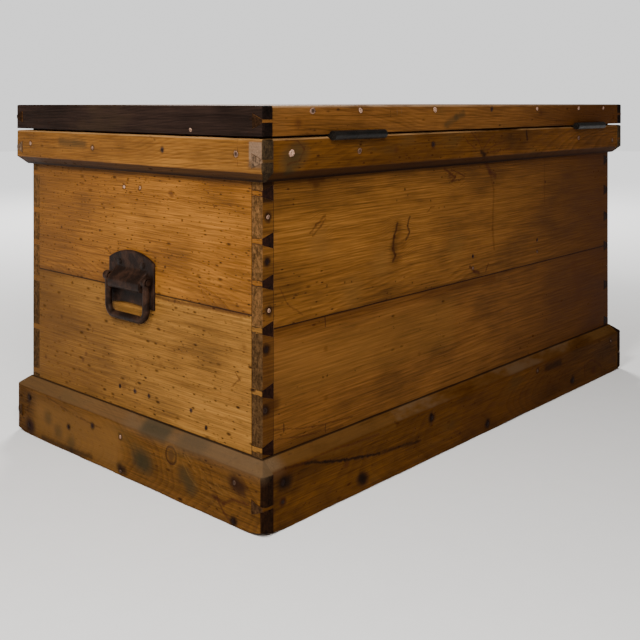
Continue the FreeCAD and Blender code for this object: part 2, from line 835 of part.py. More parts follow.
def make_hinges(chest_screws, lid_screws):
    """Two butt hinges with their leaves let into the skirt and the rim, and their screws."""
    half_gap = size["leaf_gap"] / 2
    chest_span = (hinge_height - half_gap - size["leaf_thick"], hinge_height - half_gap)
    lid_span = (hinge_height + half_gap, hinge_height + half_gap + size["leaf_thick"])
    for side, name in SIDE_NAMES.items():
        make_hinge_leaf(f"{name}_hinge_chest_leaf", side, 0, chest_span)
        make_hinge_leaf(f"{name}_hinge_lid_leaf", side, 1, lid_span)
        pin = keep(new_body(f"{name}_hinge_pin"))
        disc = Disc(hinge_axis_y, hinge_height, size["hinge_pin_radius"])
        prism(pin, "Pad", "YZ", [disc], *hinge_span(side))
    make_hinge_screws(chest_screws, chest_span, -1)
    make_hinge_screws(lid_screws, lid_span, 1)


def make_handle(side, screws):
    """A drop handle: hooded back plate, pivot pin, a bail that swings up, and its screws."""
    name = SIDE_NAMES[side]
    half = size["plate_width"] / 2
    shoulder = pivot_z + size["plate_shoulder_rise"]
    foot = pivot_z - size["plate_foot_drop"]
    dome_radius = (half * half + size["plate_dome_rise"] * size["plate_dome_rise"]) / (size["plate_dome_rise"] * 2)
    arch_half = size["plate_arch_width"] / 2
    arch_rise = size["plate_arch_rise"]
    arch_radius = (arch_half * arch_half + arch_rise * arch_rise) / (arch_rise * 2)
    plate_outline = [
        (half, foot),
        (half, shoulder),
        (-half, shoulder, dome_radius, 1),
        (-half, foot),
        (-arch_half, foot),
        (arch_half, foot, arch_radius, -1),
    ]
    plate = keep(new_body(f"{name}_handle_plate"))
    prism(plate, "Pad", "YZ", [plate_outline], *span(side, half_length, plate_face_x))
    inside_x = half_length + size["plate_thick"] / 2
    radius = size["hood_radius"]
    hood_low = pivot_z - size["hood_drop"]
    hood_outline = [
        (side * inside_x, hood_low - radius),
        (side * pivot_x, hood_low - radius),
        (side * (pivot_x + radius), hood_low, radius, side),
        (side * (pivot_x + radius), pivot_z),
        (side * pivot_x, pivot_z + radius, radius, side),
        (side * plate_face_x, pivot_z + size["hood_rise"]),
        (side * inside_x, pivot_z + size["hood_rise"]),
    ]
    hood_half = size["hood_length"] / 2
    prism(plate, "Pad", "XZ", [hood_outline], -hood_half, hood_half)
    bore = Disc(side * pivot_x, pivot_z, size["handle_pin_radius"] + size["handle_pin_clearance"])
    prism(plate, "Pocket", "XZ", [bore], -hood_half, hood_half)
    holes = [rounded(across, up, screw_hole_radius, SHANK_SIDES) for across, up in handle_screw_places]
    prism(plate, "Pocket", "YZ", holes, *span(side, half_length, plate_face_x))
    seat_radius = size["sunk_head_radius"] + size["screw_clearance"]
    seats = [rounded(*place, seat_radius, HEAD_SIDES) for place in lower_screw_places]
    prism(plate, "Pocket", "YZ", seats, *span(side, half_length, plate_face_x))
    make_bail(side, bore)
    make_handle_pin(side)
    make_handle_screws(side, screws)


def make_bail(side, bore):
    """The round bar bent to a U, with a flat eye round the pin at each end."""
    name = SIDE_NAMES[side]
    bail = keep(new_body(f"{name}_bail"))
    bar = size["bail_bar_radius"]
    bottom = pivot_z - size["bail_drop"] + bar
    corner = size["bail_corner_radius"]
    bar_x = side * (half_length + size["bail_stand"])
    bend_y = bail_arm - corner
    prism(bail, "Pad", "XZ", [rounded(bar_x, bottom, bar, BAR_SIDES)], -bend_y, bend_y)
    for across in (1, -1):
        sketch = new_sketch(bail, "XZ", across * bend_y)
        tie(sketch, "AttachmentOffset.Base.y", bottom + corner)
        draw(sketch, rounded(bar_x, -corner, bar, BAR_SIDES))
        bend = bail.newObject("PartDesign::Revolution", f"{name}_bail_bend")
        bend.Profile = sketch
        bend.ReferenceAxis = (sketch, ["H_Axis"])
        bend.Angle = BEND_ANGLE
        bend.Reversed = across < 0
    arms = [rounded(bar_x, across * bail_arm, bar, BAR_SIDES) for across in (-1, 1)]
    prism(bail, "Pad", "XY", arms, bottom + corner, pivot_z)
    eye = rounded(side * pivot_x, pivot_z, size["eye_radius"], EYE_SIDES)
    for y_span in ((-eye_outer, -eye_inner), (eye_inner, eye_outer)):
        prism(bail, "Pad", "XZ", [eye], *y_span)
    prism(bail, "Pocket", "XZ", [bore], -eye_outer, eye_outer)


def make_handle_pin(side):
    """The pivot pin through the hood and both eyes, riveted over at its ends."""
    pin = keep(new_body(f"{SIDE_NAMES[side]}_handle_pin"))
    inner = eye_outer + size["handle_pin_head_gap"]
    outer = inner + size["handle_pin_head_thick"]
    place = (side * pivot_x, pivot_z)
    prism(pin, "Pad", "XZ", [Disc(*place, size["handle_pin_radius"])], -inner, inner)
    head = rounded(*place, size["handle_pin_head_radius"], HEAD_SIDES)
    prism(pin, "Pad", "XZ", [head], -outer, -inner)
    prism(pin, "Pad", "XZ", [head], inner, outer)


def make_handle_screws(side, screws):
    """Two round-headed screws above and two flush ones behind the bail's arms."""
    face = plate_face_x
    brim = [rounded(*place, size["round_head_radius"], HEAD_SIDES) for place in upper_screw_places]
    prism(screws, "Pad", "YZ", brim, *span(side, face, face + size["round_head_brim"]))
    crown = [rounded(*place, size["round_head_crown_radius"], HEAD_SIDES) for place in upper_screw_places]
    prism(screws, "Pad", "YZ", crown, *span(side, face, face + size["round_head_height"]))
    flush = [rounded(*place, size["sunk_head_radius"], HEAD_SIDES) for place in lower_screw_places]
    prism(screws, "Pad", "YZ", flush, *span(side, half_length, face))
    shanks = [rounded(*place, size["screw_shank_radius"], SHANK_SIDES) for place in handle_screw_places]
    prism(screws, "Pad", "YZ", shanks, *span(side, face - size["screw_length"], face))


def check_document():
    """Stops if any object failed or any sub-part has no valid shape."""
    for item in document.Objects:
        if "Invalid" in item.State or "Error" in item.State:
            raise RuntimeError(f"{item.Label} failed: {item.State}")
    for item in sub_parts:
        if item.Shape.isNull() or not item.Shape.isValid() or not item.Shape.Solids:
            raise RuntimeError(f"{item.Label} has no valid solid")


def write_sub_parts():
    """Writes every sub-part to its own STEP file and prints what it holds."""
    os.makedirs("parts", exist_ok=True)
    for item in sub_parts:
        item.Shape.exportStep(f"parts/{item.Label}.step")
        bounds = item.Shape.BoundBox
        print(
            f"{item.Label:26s} solids {len(item.Shape.Solids):3d} volume {item.Shape.Volume:12.1f}"
            f" x {bounds.XMin:8.2f} {bounds.XMax:8.2f} y {bounds.YMin:8.2f} {bounds.YMax:8.2f}"
            f" z {bounds.ZMin:8.2f} {bounds.ZMax:8.2f}"
        )
    print(len(sub_parts), "sub-parts")


carcase = make_carcase()
make_bottom()
make_frames()
make_lid_boards()
make_partitions()
make_tills()
make_lock(carcase["front_board_upper"])
screws_in_chest = keep(screw_body("chest_screws"))
screws_in_lid = keep(screw_body("lid_screws"))
make_hinges(screws_in_chest, screws_in_lid)
for handle_side in SIDE_NAMES:
    make_handle(handle_side, screws_in_chest)
document.recompute()
check_document()
write_sub_parts()
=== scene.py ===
import json
import logging
import math
from collections.abc import Callable
from dataclasses import dataclass
from enum import Enum

import bmesh
import bpy
import numpy as np
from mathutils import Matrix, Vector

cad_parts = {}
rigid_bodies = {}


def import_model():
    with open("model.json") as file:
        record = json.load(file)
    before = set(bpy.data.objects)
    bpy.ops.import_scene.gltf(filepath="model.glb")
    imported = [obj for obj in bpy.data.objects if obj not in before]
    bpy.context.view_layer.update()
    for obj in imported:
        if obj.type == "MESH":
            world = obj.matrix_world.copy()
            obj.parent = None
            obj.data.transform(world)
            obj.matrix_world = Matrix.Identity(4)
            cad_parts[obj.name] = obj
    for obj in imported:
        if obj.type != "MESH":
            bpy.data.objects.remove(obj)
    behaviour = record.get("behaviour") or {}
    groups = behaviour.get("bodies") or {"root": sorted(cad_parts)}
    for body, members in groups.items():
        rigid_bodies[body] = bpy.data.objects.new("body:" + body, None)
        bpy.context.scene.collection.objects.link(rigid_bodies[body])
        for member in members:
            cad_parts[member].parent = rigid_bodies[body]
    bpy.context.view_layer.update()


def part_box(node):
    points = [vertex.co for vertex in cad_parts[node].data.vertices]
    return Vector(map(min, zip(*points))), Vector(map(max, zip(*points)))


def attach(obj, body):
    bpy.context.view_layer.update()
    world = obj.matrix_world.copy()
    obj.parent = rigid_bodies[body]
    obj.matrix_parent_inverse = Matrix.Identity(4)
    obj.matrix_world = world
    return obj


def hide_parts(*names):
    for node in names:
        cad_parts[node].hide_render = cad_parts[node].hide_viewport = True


LOG = logging.getLogger("fitted_chest")

MM = 0.001
Colour = tuple[float, float, float]
Point = tuple[float, float, float]
Spot = tuple[float, float]
Face = Callable[[float, float, float], Point]
Polygons = list[list[int]]
Socket = bpy.types.NodeSocket

# Sizes of the chest that more than one sub-assembly uses, in millimetres
BODY_HALF_LENGTH = 475.0
BODY_HALF_WIDTH = 265.0
BODY_BASE = 28.0
BODY_HEIGHT = 474.0
FRAME_HALF_LENGTH = 494.0
FRAME_HALF_WIDTH = 284.0
FRAME_PROUD = 19.0
NAIL_PROUD = 18.55
LIP_GAP_HEIGHT = 482.85
HINGE_CENTRES = {"right": 320.5, "left": -346.4}
SHARP_ANGLE = math.radians(38.0)


class Axis(Enum):
    """One of the chest's own directions."""

    LENGTH = 0
    WIDTH = 1
    HEIGHT = 2


def on_back(along: float, height: float, proud: float = 0.0) -> Point:
    """A point of the back, by its distance from the near corner and its height, in millimetres."""
    return (BODY_HALF_LENGTH - along, BODY_HALF_WIDTH + proud, height)


def on_end(along: float, height: float, proud: float = 0.0) -> Point:
    """A point of the right-hand end, by its distance from the near corner and its height."""
    return (BODY_HALF_LENGTH + proud, BODY_HALF_WIDTH - along, height)


# Meshes


def waves(points: np.ndarray, seed: int, length: float) -> np.ndarray:
    """Smooth seeded noise between about -1 and 1.

    It is the mean of a few sines that run in random directions, each with its own phase and a wave
    length near the one that is asked for.

    Args:
        points: Places, three numbers each, in millimetres.
        seed: Start of the random draws.
        length: The mean wave length in millimetres.

    Returns:
        One number for each place.
    """
    count = 7
    random = np.random.default_rng(seed)
    directions = random.normal(size=(count, 3))
    directions /= np.linalg.norm(directions, axis=1, keepdims=True)
    lengths = length * random.uniform(0.6, 1.7, count)
    phases = random.uniform(0.0, 2.0 * np.pi, count)
    turns = points @ (directions / lengths[:, None]).T * 2.0 * np.pi + phases
    return np.sin(turns).sum(axis=-1) / math.sqrt(count)


def ring_faces(rings: int, around: int) -> Polygons:
    """Quads between neighbouring closed rings of points that are stored ring after ring.

    Args:
        rings: Number of rings.
        around: Number of points in each ring.

    Returns:
        The faces as lists of point numbers.
    """
    start = np.arange(rings - 1)[:, None] * around
    here = np.arange(around)[None, :]
    after = (here + 1) % around
    quads = np.stack([start + here, start + after, start + around + after, start + around + here], axis=-1)
    return quads.reshape(-1, 4).tolist()


def fan_faces(ring: np.ndarray, pole: int) -> Polygons:
    """Triangles from a ring of point numbers to one pole."""
    return np.stack([ring, np.roll(ring, -1), np.full_like(ring, pole)], axis=-1).tolist()


def closed_tube(rings: np.ndarray) -> tuple[np.ndarray, Polygons]:
    """A tube through rings of points, closed by a fan at either end.

    Args:
        rings: Points of shape (rings, around, 3).

    Returns:
        The points and the faces.
    """
    count, around, _ = rings.shape
    points = np.concatenate([rings.reshape(-1, 3), rings[0].mean(axis=0)[None], rings[-1].mean(axis=0)[None]])
    first = np.arange(around)
    last = first + (count - 1) * around
    faces = ring_faces(count, around)
    faces += fan_faces(first, count * around)
    faces += fan_faces(last[::-1], count * around + 1)
    return points, faces


def straight_prism(low: np.ndarray, high: np.ndarray) -> tuple[np.ndarray, Polygons]:
    """A prism between two outlines with the same number of points, its ends one face each.

    Args:
        low: First outline.
        high: Second outline.

    Returns:
        The points and the faces.
    """
    around = len(low)
    faces = ring_faces(2, around)
    faces += [list(range(around)), list(range(around, 2 * around))]
    return np.concatenate([low, high]), faces


def joined(parts: list[tuple[np.ndarray, Polygons]]) -> tuple[np.ndarray, Polygons]:
    """Several meshes as one list of points and one list of faces.

    Args:
        parts: Meshes, each its points and its faces.

    Returns:
        The points and the renumbered faces.
    """
    points = []
    faces = []
    start = 0
    for part_points, part_faces in parts:
        points.append(part_points)
        faces += [[index + start for index in face] for face in part_faces]
        start += len(part_points)
    return np.concatenate(points), faces


def smooth_shaded(mesh: bpy.types.Mesh) -> None:
    """Shades a mesh smooth, with its sharper edges kept sharp."""
    mesh.shade_smooth()
    mesh.set_sharp_from_angle(angle=SHARP_ANGLE)


def outward(shape: bmesh.types.BMesh, mesh: bpy.types.Mesh) -> None:
    """Turns all faces outwards and writes the shape into the mesh."""
    bmesh.ops.recalc_face_normals(shape, faces=shape.faces)
    shape.to_mesh(mesh)
    shape.free()


def made(name: str, points: np.ndarray, faces: Polygons) -> bpy.types.Object:
    """A new piece in the scene.

    Args:
        name: Name of the piece.
        points: Its points in millimetres.
        faces: Its faces as lists of point numbers.

    Returns:
        The piece, smooth shaded, with its faces turned outwards.
    """
    mesh = bpy.data.meshes.new(name)
    mesh.from_pydata((points * MM).tolist(), [], faces)
    shape = bmesh.new()
    shape.from_mesh(mesh)
    outward(shape, mesh)
    smooth_shaded(mesh)
    piece = bpy.data.objects.new(name, mesh)
    bpy.context.scene.collection.objects.link(piece)
    return piece


def settled(piece: bpy.types.Object) -> bpy.types.Object:
    """Applies the modifiers of a piece to its mesh.

    Args:
        piece: The piece with its modifiers.

    Returns:
        The same piece with its final mesh.
    """
    graph = bpy.context.evaluated_depsgraph_get()
    mesh = bpy.data.meshes.new_from_object(piece.evaluated_get(graph))
    piece.modifiers.clear()
    piece.data = mesh
    smooth_shaded(mesh)
    return piece


def carved(
    piece: bpy.types.Object, tools: list[bpy.types.Object], way: str = "DIFFERENCE"
) -> bpy.types.Object:
    """Cuts tools out of a piece, or adds them to it, and removes the tools.

    Args:
        piece: The piece that is changed.
        tools: Closed meshes.
        way: DIFFERENCE or UNION.

    Returns:
        The piece.
    """
    for tool in tools:
        cut = piece.modifiers.new("cut", "BOOLEAN")
        cut.operation = way
        cut.solver = "EXACT"
        cut.object = tool
    settled(piece)
    for tool in tools:
        bpy.data.objects.remove(tool)
    return piece


def softened(node: str, name: str, width: float, segments: int = 2) -> bpy.types.Object:
    """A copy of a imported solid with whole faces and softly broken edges.

    Args:
        node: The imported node.
        name: Name of the new piece, which replaces the node.
        width: Width of the broken edges in millimetres.
        segments: Faces across a broken edge.

    Returns:
        The new piece.
    """
    shape = bmesh.new()
    shape.from_mesh(bpy.data.objects[node].data)
    bmesh.ops.remove_doubles(shape, verts=shape.verts, dist=0.01 * MM)
    bmesh.ops.dissolve_limit(shape, angle_limit=math.radians(1.0), verts=shape.verts, edges=shape.edges)
    mesh = bpy.data.meshes.new(name)
    outward(shape, mesh)
    if "custom_normal" in mesh.attributes:
        mesh.attributes.remove(mesh.attributes["custom_normal"])
    mesh.materials.clear()
    mesh.shade_smooth()
    piece = bpy.data.objects.new(name, mesh)
    bpy.context.scene.collection.objects.link(piece)
    edges = piece.modifiers.new("broken_edges", "BEVEL")
    edges.width = width * MM
    edges.segments = segments
    edges.limit_method = "ANGLE"
    edges.angle_limit = math.radians(30.0)
    edges.harden_normals = True
    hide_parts(node)
    return piece


# Finishes


class NodeSheet:
    """A material's nodes, added one at a time, ending in one shader."""

    def __init__(self, name: str) -> None:
        """Starts an empty sheet with its shader.

        Args:
            name: Name of the material.
        """
        self.material = bpy.data.materials.new(name)
        self.material.use_nodes = True
        self.tree = self.material.node_tree
        self.tree.nodes.clear()
        self.shader = self.tree.nodes.new("ShaderNodeBsdfPrincipled")
        output = self.tree.nodes.new("ShaderNodeOutputMaterial")
        self.tree.links.new(self.shader.outputs["BSDF"], output.inputs["Surface"])
        coordinates = self.tree.nodes.new("ShaderNodeTexCoord")
        self.place = coordinates.outputs["Object"]
        self.normal = coordinates.outputs["Normal"]

    def feed(self, socket: Socket, value: object) -> None:
        """Links a socket, or sets a plain number, vector or colour on an input.

        Args:
            socket: An input of a node.
            value: A socket to link, or what to set.
        """
        if isinstance(value, bpy.types.NodeSocket):
            self.tree.links.new(value, socket)
        elif socket.type == "RGBA":
            socket.default_value = (*value, 1.0)
        else:
            socket.default_value = value

    def sum(self, operation: str, *values: object) -> Socket:
        """One step of arithmetic on numbers.

        Args:
            operation: Name of the operation.
            values: Its inputs, sockets or numbers.

        Returns:
            The result.
        """
        node = self.tree.nodes.new("ShaderNodeMath")
        node.operation = operation
        for socket, value in zip(node.inputs, values):
            self.feed(socket, value)
        return node.outputs[0]

    def vector(self, operation: str, *values: object) -> Socket:
        """One step of arithmetic on vectors; a length or product comes from the second output.

        Args:
            operation: Name of the operation.
            values: Its inputs, sockets, vectors or a scale.

        Returns:
            The result, a vector or a number.
        """
        node = self.tree.nodes.new("ShaderNodeVectorMath")
        node.operation = operation
        vectors = [socket for socket in node.inputs if socket.type == "VECTOR"]
        if operation == "SCALE":
            vectors = [node.inputs[0], node.inputs["Scale"]]
        for socket, value in zip(vectors, values):
            self.feed(socket, value)
        number = operation in ("LENGTH", "DOT_PRODUCT", "DISTANCE")
        return node.outputs["Value"] if number else node.outputs["Vector"]

    def step(self, value: object, low: float, high: float, first: float = 0.0, last: float = 1.0) -> Socket:
        """A smooth step from first at low to last at high.

        Args:
            value: The number that decides.
            low: Where the step starts.
            high: Where it ends.
            first: Result up to low.
            last: Result from high on.

        Returns:
            The result.
        """
        node = self.tree.nodes.new("ShaderNodeMapRange")
        node.interpolation_type = "SMOOTHSTEP"
        limits = {"Value": value, "From Min": low, "From Max": high, "To Min": first, "To Max": last}
        for key, number in limits.items():
            self.feed(node.inputs[key], number)
        return node.outputs["Result"]

    def mixed(self, share: object, first: object, second: object) -> Socket:
        """Two colours mixed by a share.

        Args:
            share: Share of the second colour.
            first: First colour.
            second: Second colour.

        Returns:
            The mixed colour.
        """
        node = self.tree.nodes.new("ShaderNodeMix")
        node.data_type = "RGBA"
        self.feed(node.inputs[0], share)
        self.feed(node.inputs[6], first)
        self.feed(node.inputs[7], second)
        return node.outputs[2]

    def noise(self, place: Socket, scale: float, detail: float = 2.0, rough: float = 0.5) -> bpy.types.Node:
        """A noise texture; its outputs are Fac and Color.

        Args:
            place: The place that it reads.
            scale: Repeats in a unit of the place.
            detail: How many finer layers it has.
            rough: How strong the finer layers are.

        Returns:
            The node.
        """
        node = self.tree.nodes.new("ShaderNodeTexNoise")
        self.feed(node.inputs["Vector"], place)
        node.inputs["Scale"].default_value = scale
        node.inputs["Detail"].default_value = detail
        node.inputs["Roughness"].default_value = rough
        return node

    def cells(self, place: Socket) -> bpy.types.Node:
        """A texture of scattered points; its outputs are Distance and Color.

        Args:
            place: The place that it reads.

        Returns:
            The node.
        """
        node = self.tree.nodes.new("ShaderNodeTexVoronoi")
        self.feed(node.inputs["Vector"], place)
        node.inputs["Scale"].default_value = 1.0
        return node

    def parts(self, vector: Socket) -> tuple[Socket, Socket, Socket]:
        """The three numbers of a vector."""
        node = self.tree.nodes.new("ShaderNodeSeparateXYZ")
        self.tree.links.new(vector, node.inputs[0])
        return node.outputs[0], node.outputs[1], node.outputs[2]

    def bump(self, height: Socket, distance: float) -> None:
        """Raises the surface by a height, distance in metres.

        Args:
            height: Height of the surface, about 0 to 1.
            distance: What a height of 1 is, in metres.
        """
        node = self.tree.nodes.new("ShaderNodeBump")
        node.inputs["Strength"].default_value = 1.0
        node.inputs["Distance"].default_value = distance
        self.feed(node.inputs["Height"], height)
        self.tree.links.new(node.outputs["Normal"], self.shader.inputs["Normal"])


@dataclass(frozen=True)
class Mark:
    """A stain, dent, knot or crack, in millimetres.

    It is a spot round start, or a streak from start to finish. Where hollow is above 0 it is a ring
    that is empty inside that share of its reach.
    """

    start: Point
    reach: float
    strength: float
    finish: Point | None
    colour: Colour
    core: float
    hollow: float = 0.0


Marks = tuple[Mark, ...]


@dataclass(frozen=True)
class Brush:
    """Lays marks on the boards of one face, which stand proud of the carcase."""

    face: Face
    proud: float = 0.0

    def line(self, reach: float, strength: float, colour: Colour, *path: Spot) -> Marks:
        """A crack or curved streak: a mark from each point of its path to the next.

        Args:
            reach: Half its width.
            strength: How much it covers.
            colour: Its colour.
            path: Points (distance from the near corner, height).

        Returns:
            The marks.
        """
        points = [self.face(*spot, self.proud) for spot in path]
        return tuple(
            Mark(first, reach, strength, second, colour, 0.1) for first, second in zip(points, points[1:])
        )

    def dots(self, reach: float, strength: float, colour: Colour, *places: Spot) -> Marks:
        """Round marks of one kind at several places."""
        return tuple(
            Mark(self.face(*spot, self.proud), reach, strength, None, colour, 0.15) for spot in places
        )


BACK = Brush(on_back)
END = Brush(on_end)
FRAME_BACK = Brush(on_back, FRAME_PROUD)
FRAME_END = Brush(on_end, FRAME_PROUD)


@dataclass(frozen=True)
class Knot:
    """A place that the grain flows round, in millimetres."""

    place: Point
    reach: float
    pull: float = 0.85


@dataclass(frozen=True)
class Tone:
    """A part of a board that has its own tone, some of them painted shade or highlight: a range of
    millimetres along each axis that limits it.
    """

    colour: Colour
    share: float
    length: Spot | None = None
    width: Spot | None = None
    height: Spot | None = None
    soft: float = 1.0
    patch_from: float = 0.0
    patch_to: float = 0.0
    speckle: float = 0.0
    over_end: bool = False


@dataclass(frozen=True)
class Pine:
    """Old pine: its colours, growth rings and wear."""

    slot: str
    pale: Colour
    dark: Colour
    deep: Colour
    end_grain: Colour
    contrast: float
    pits: float
    ring_width: float
    roughness: float
    patches: float = 0.5
    smudge: float = 0.25
    streaks: float = 0.3
    gloss: float = 0.035


@dataclass(frozen=True)
class Sawn:
    """How one board was sawn from its log, in millimetres."""

    grain: Axis
    width: Axis
    heart: float
    depth: float
    lean: float = 0.1


@dataclass(frozen=True)
class Figure:
    """Noise drawn out along the grain: its repeats in a metre along and across, and its fineness."""

    along: float
    across: float
    detail: float
    rough: float = 0.5
    drift: float = 0.0


SLOW_BEND = Figure(2.2, 7.0, 2.0)
QUICK_BEND = Figure(13.0, 45.0, 2.0)
PATCHES = Figure(2.6, 9.0, 4.0, 0.55, 3.0)
CLOUDS = Figure(7.0, 16.0, 4.0, 0.6, 7.0)
FIBRES = Figure(14.0, 520.0, 3.0, 0.6)
STREAKS = Figure(3.2, 210.0, 4.0, 0.6, 5.0)

SMUDGE = (0.034, 0.022, 0.007)
PIT = (0.018, 0.006, 0.002)
AMBER_STAIN = (0.045, 0.013, 0.002)
RED_KNOT = (0.03, 0.008, 0.003)
# Near black of stains, dark joints and lines; also painted shade on the skirt's foot and along the plinth's
# top.
BLACK_STAIN_AND_SHADE = (0.006, 0.003, 0.002)
# Brown of dirt in joints and cracks; also the painted shade on the carcase under the skirt.
JOINT_DIRT_AND_SHADE = (0.03, 0.01, 0.002)
# Painted shade: the first brown darkens the far parts of the back, the skirt and the rim where less light
# falls, and also the middle of the plinth's back and a band of the back's lower board; the olive darkens the
# far side of the end.
DARK_BROWN_AND_FALLOFF_SHADE = (0.031, 0.0078, 0.0006)
OLIVE_FALLOFF_SHADE = (0.07, 0.028, 0.005)
GREY_WORN = (0.088, 0.056, 0.03)
PALE_LINE = (0.11, 0.052, 0.012)
GREY_GREEN = (0.022, 0.018, 0.008)


def stretched(sheet: NodeSheet, sawn: Sawn, along: float, across: float, shift: np.ndarray) -> Socket:
    """The place, scaled by one factor along the grain and another across it, and shifted.

    Args:
        sheet: The material's nodes.
        sawn: How the board was sawn.
        along: Factor along the grain.
        across: Factor across it.
        shift: Random shift of this board's noise.

    Returns:
        The place.
    """
    factors = [across, across, across]
    factors[sawn.grain.value] = along
    return sheet.vector("MULTIPLY_ADD", sheet.place, tuple(factors), tuple(shift.tolist()))


def grained(sheet: NodeSheet, sawn: Sawn, figure: Figure, shift: np.ndarray) -> Socket:
    """The value of one noise drawn out along the grain.

    Args:
        sheet: The material's nodes.
        sawn: How the board was sawn.
        figure: The noise.
        shift: Random shift of this board's noise.

    Returns:
        Its value, from 0 to 1.
    """
    place = stretched(sheet, sawn, figure.along, figure.across, shift + figure.drift)
    return sheet.noise(place, 1.0, figure.detail, figure.rough).outputs["Fac"]


def growth_rings(
    sheet: NodeSheet, pine: Pine, sawn: Sawn, knots: tuple[Knot, ...], shift: np.ndarray
) -> Socket:
    """Growth rings as a board's face cuts them.

    The ring number is the distance from the log's heart, which leans along the board, over the ring
    width. Its fraction gives pale early wood that darkens and ends sharply, and each ring has its own
    strength. Near a knot the place across the board is drawn towards the knot, so the lines part.

    Args:
        sheet: The material's nodes.
        pine: The kind of pine.
        sawn: How the board was sawn.
        knots: Places that the grain flows round.
        shift: Random shift of this board's noise.

    Returns:
        The darkness of the late wood, from 0 to 1.
    """
    places = sheet.parts(sheet.place)
    along = places[sawn.grain.value]
    across = places[sawn.width.value]
    for knot in knots:
        middle = tuple(value * MM for value in knot.place)
        gap = sheet.vector("DISTANCE", sheet.place, middle)
        near = sheet.step(gap, 0.0, knot.reach * MM, knot.pull, 0.0)
        offset = sheet.sum("SUBTRACT", across, middle[sawn.width.value])
        across = sheet.sum("SUBTRACT", across, sheet.sum("MULTIPLY", offset, near))
    slow = grained(sheet, sawn, SLOW_BEND, shift)
    quick = grained(sheet, sawn, QUICK_BEND, shift)
    side = sheet.sum("SUBTRACT", across, sawn.heart * MM)
    lean = sheet.sum("MULTIPLY_ADD", along, sawn.lean, sawn.depth * MM)
    deep = sheet.sum("MULTIPLY_ADD", slow, 0.05, lean)
    radius = sheet.sum("POWER", sheet.sum("MULTIPLY_ADD", side, side, sheet.sum("MULTIPLY", deep, deep)), 0.5)
    number = sheet.sum("DIVIDE", radius, pine.ring_width * MM)
    number = sheet.sum("MULTIPLY_ADD", quick, 1.1, number)
    fraction = sheet.sum("FRACT", number)
    late = sheet.sum("MULTIPLY", sheet.step(fraction, 0.15, 0.85), sheet.step(fraction, 0.9, 1.0, 1.0, 0.0))
    own = sheet.tree.nodes.new("ShaderNodeTexWhiteNoise")
    own.noise_dimensions = "1D"
    sheet.feed(own.inputs["W"], sheet.sum("FLOOR", number))
    strength = sheet.sum("MULTIPLY_ADD", own.outputs["Value"], 0.7, 0.3)
    return sheet.sum("MULTIPLY", late, strength)


def marked(sheet: NodeSheet, colour: Socket, marks: Marks) -> Socket:
    """Lays the marks over a colour, each with a ragged edge.

    Args:
        sheet: The material's nodes.
        colour: The colour so far.
        marks: The marks, the last on top.

    Returns:
        The new colour.
    """
    rough = sheet.noise(sheet.place, 160.0, 3.0, 0.6).outputs["Color"]
    ragged = sheet.vector("MULTIPLY_ADD", rough, (0.005, 0.005, 0.005), sheet.place)
    ragged = sheet.vector("SUBTRACT", ragged, (0.0025, 0.0025, 0.0025))
    for mark in marks:
        start = np.array(mark.start) * MM
        gap = sheet.vector("SUBTRACT", ragged, tuple(start))
        if mark.finish:
            run = np.array(mark.finish) * MM - start
            share = sheet.sum("DIVIDE", sheet.vector("DOT_PRODUCT", gap, tuple(run)), float(run @ run))
            share = sheet.sum("MINIMUM", sheet.sum("MAXIMUM", share, 0.0), 1.0)
            gap = sheet.vector("SUBTRACT", gap, sheet.vector("SCALE", tuple(run), share))
        length = sheet.vector("LENGTH", gap)
        near = sheet.step(length, mark.reach * mark.core * MM, mark.reach * MM, mark.strength, 0.0)
        if mark.hollow:
            hole = mark.hollow * mark.reach * MM
            near = sheet.sum("MULTIPLY", near, sheet.step(length, 0.6 * hole, hole))
        colour = sheet.mixed(near, colour, mark.colour)
    return colour


def toned(
    sheet: NodeSheet, colour: Socket, tones: tuple[Tone, ...], patch: Socket, speckle: Socket
) -> Socket:
    """Lays the tones over a colour.

    A tone with patch limits shows only where the slow noise is above them, and one with a speckle
    has its colour scaled by the fine noise.

    Args:
        sheet: The material's nodes.
        colour: The colour so far.
        tones: The tones, the last on top.
        patch: Slow noise.
        speckle: Fine noise.

    Returns:
        The new colour.
    """
    places = sheet.parts(sheet.place)
    for tone in tones:
        share = tone.share
        for place, span in zip(places, (tone.length, tone.width, tone.height)):
            if span is None:
                continue
            low, high = span
            rise = sheet.step(place, (low - tone.soft) * MM, (low + tone.soft) * MM)
            fall = sheet.step(place, (high - tone.soft) * MM, (high + tone.soft) * MM, 1.0, 0.0)
            share = sheet.sum("MULTIPLY", share, sheet.sum("MULTIPLY", rise, fall))
        if tone.patch_to > tone.patch_from:
            share = sheet.sum("MULTIPLY", share, sheet.step(patch, tone.patch_from, tone.patch_to))
        shade = tone.colour
        if tone.speckle:
            light = sheet.sum("MULTIPLY_ADD", speckle, 2.0 * tone.speckle, 1.0 - tone.speckle)
            shade = sheet.vector("SCALE", tone.colour, light)
        colour = sheet.mixed(share, colour, shade)
    return colour


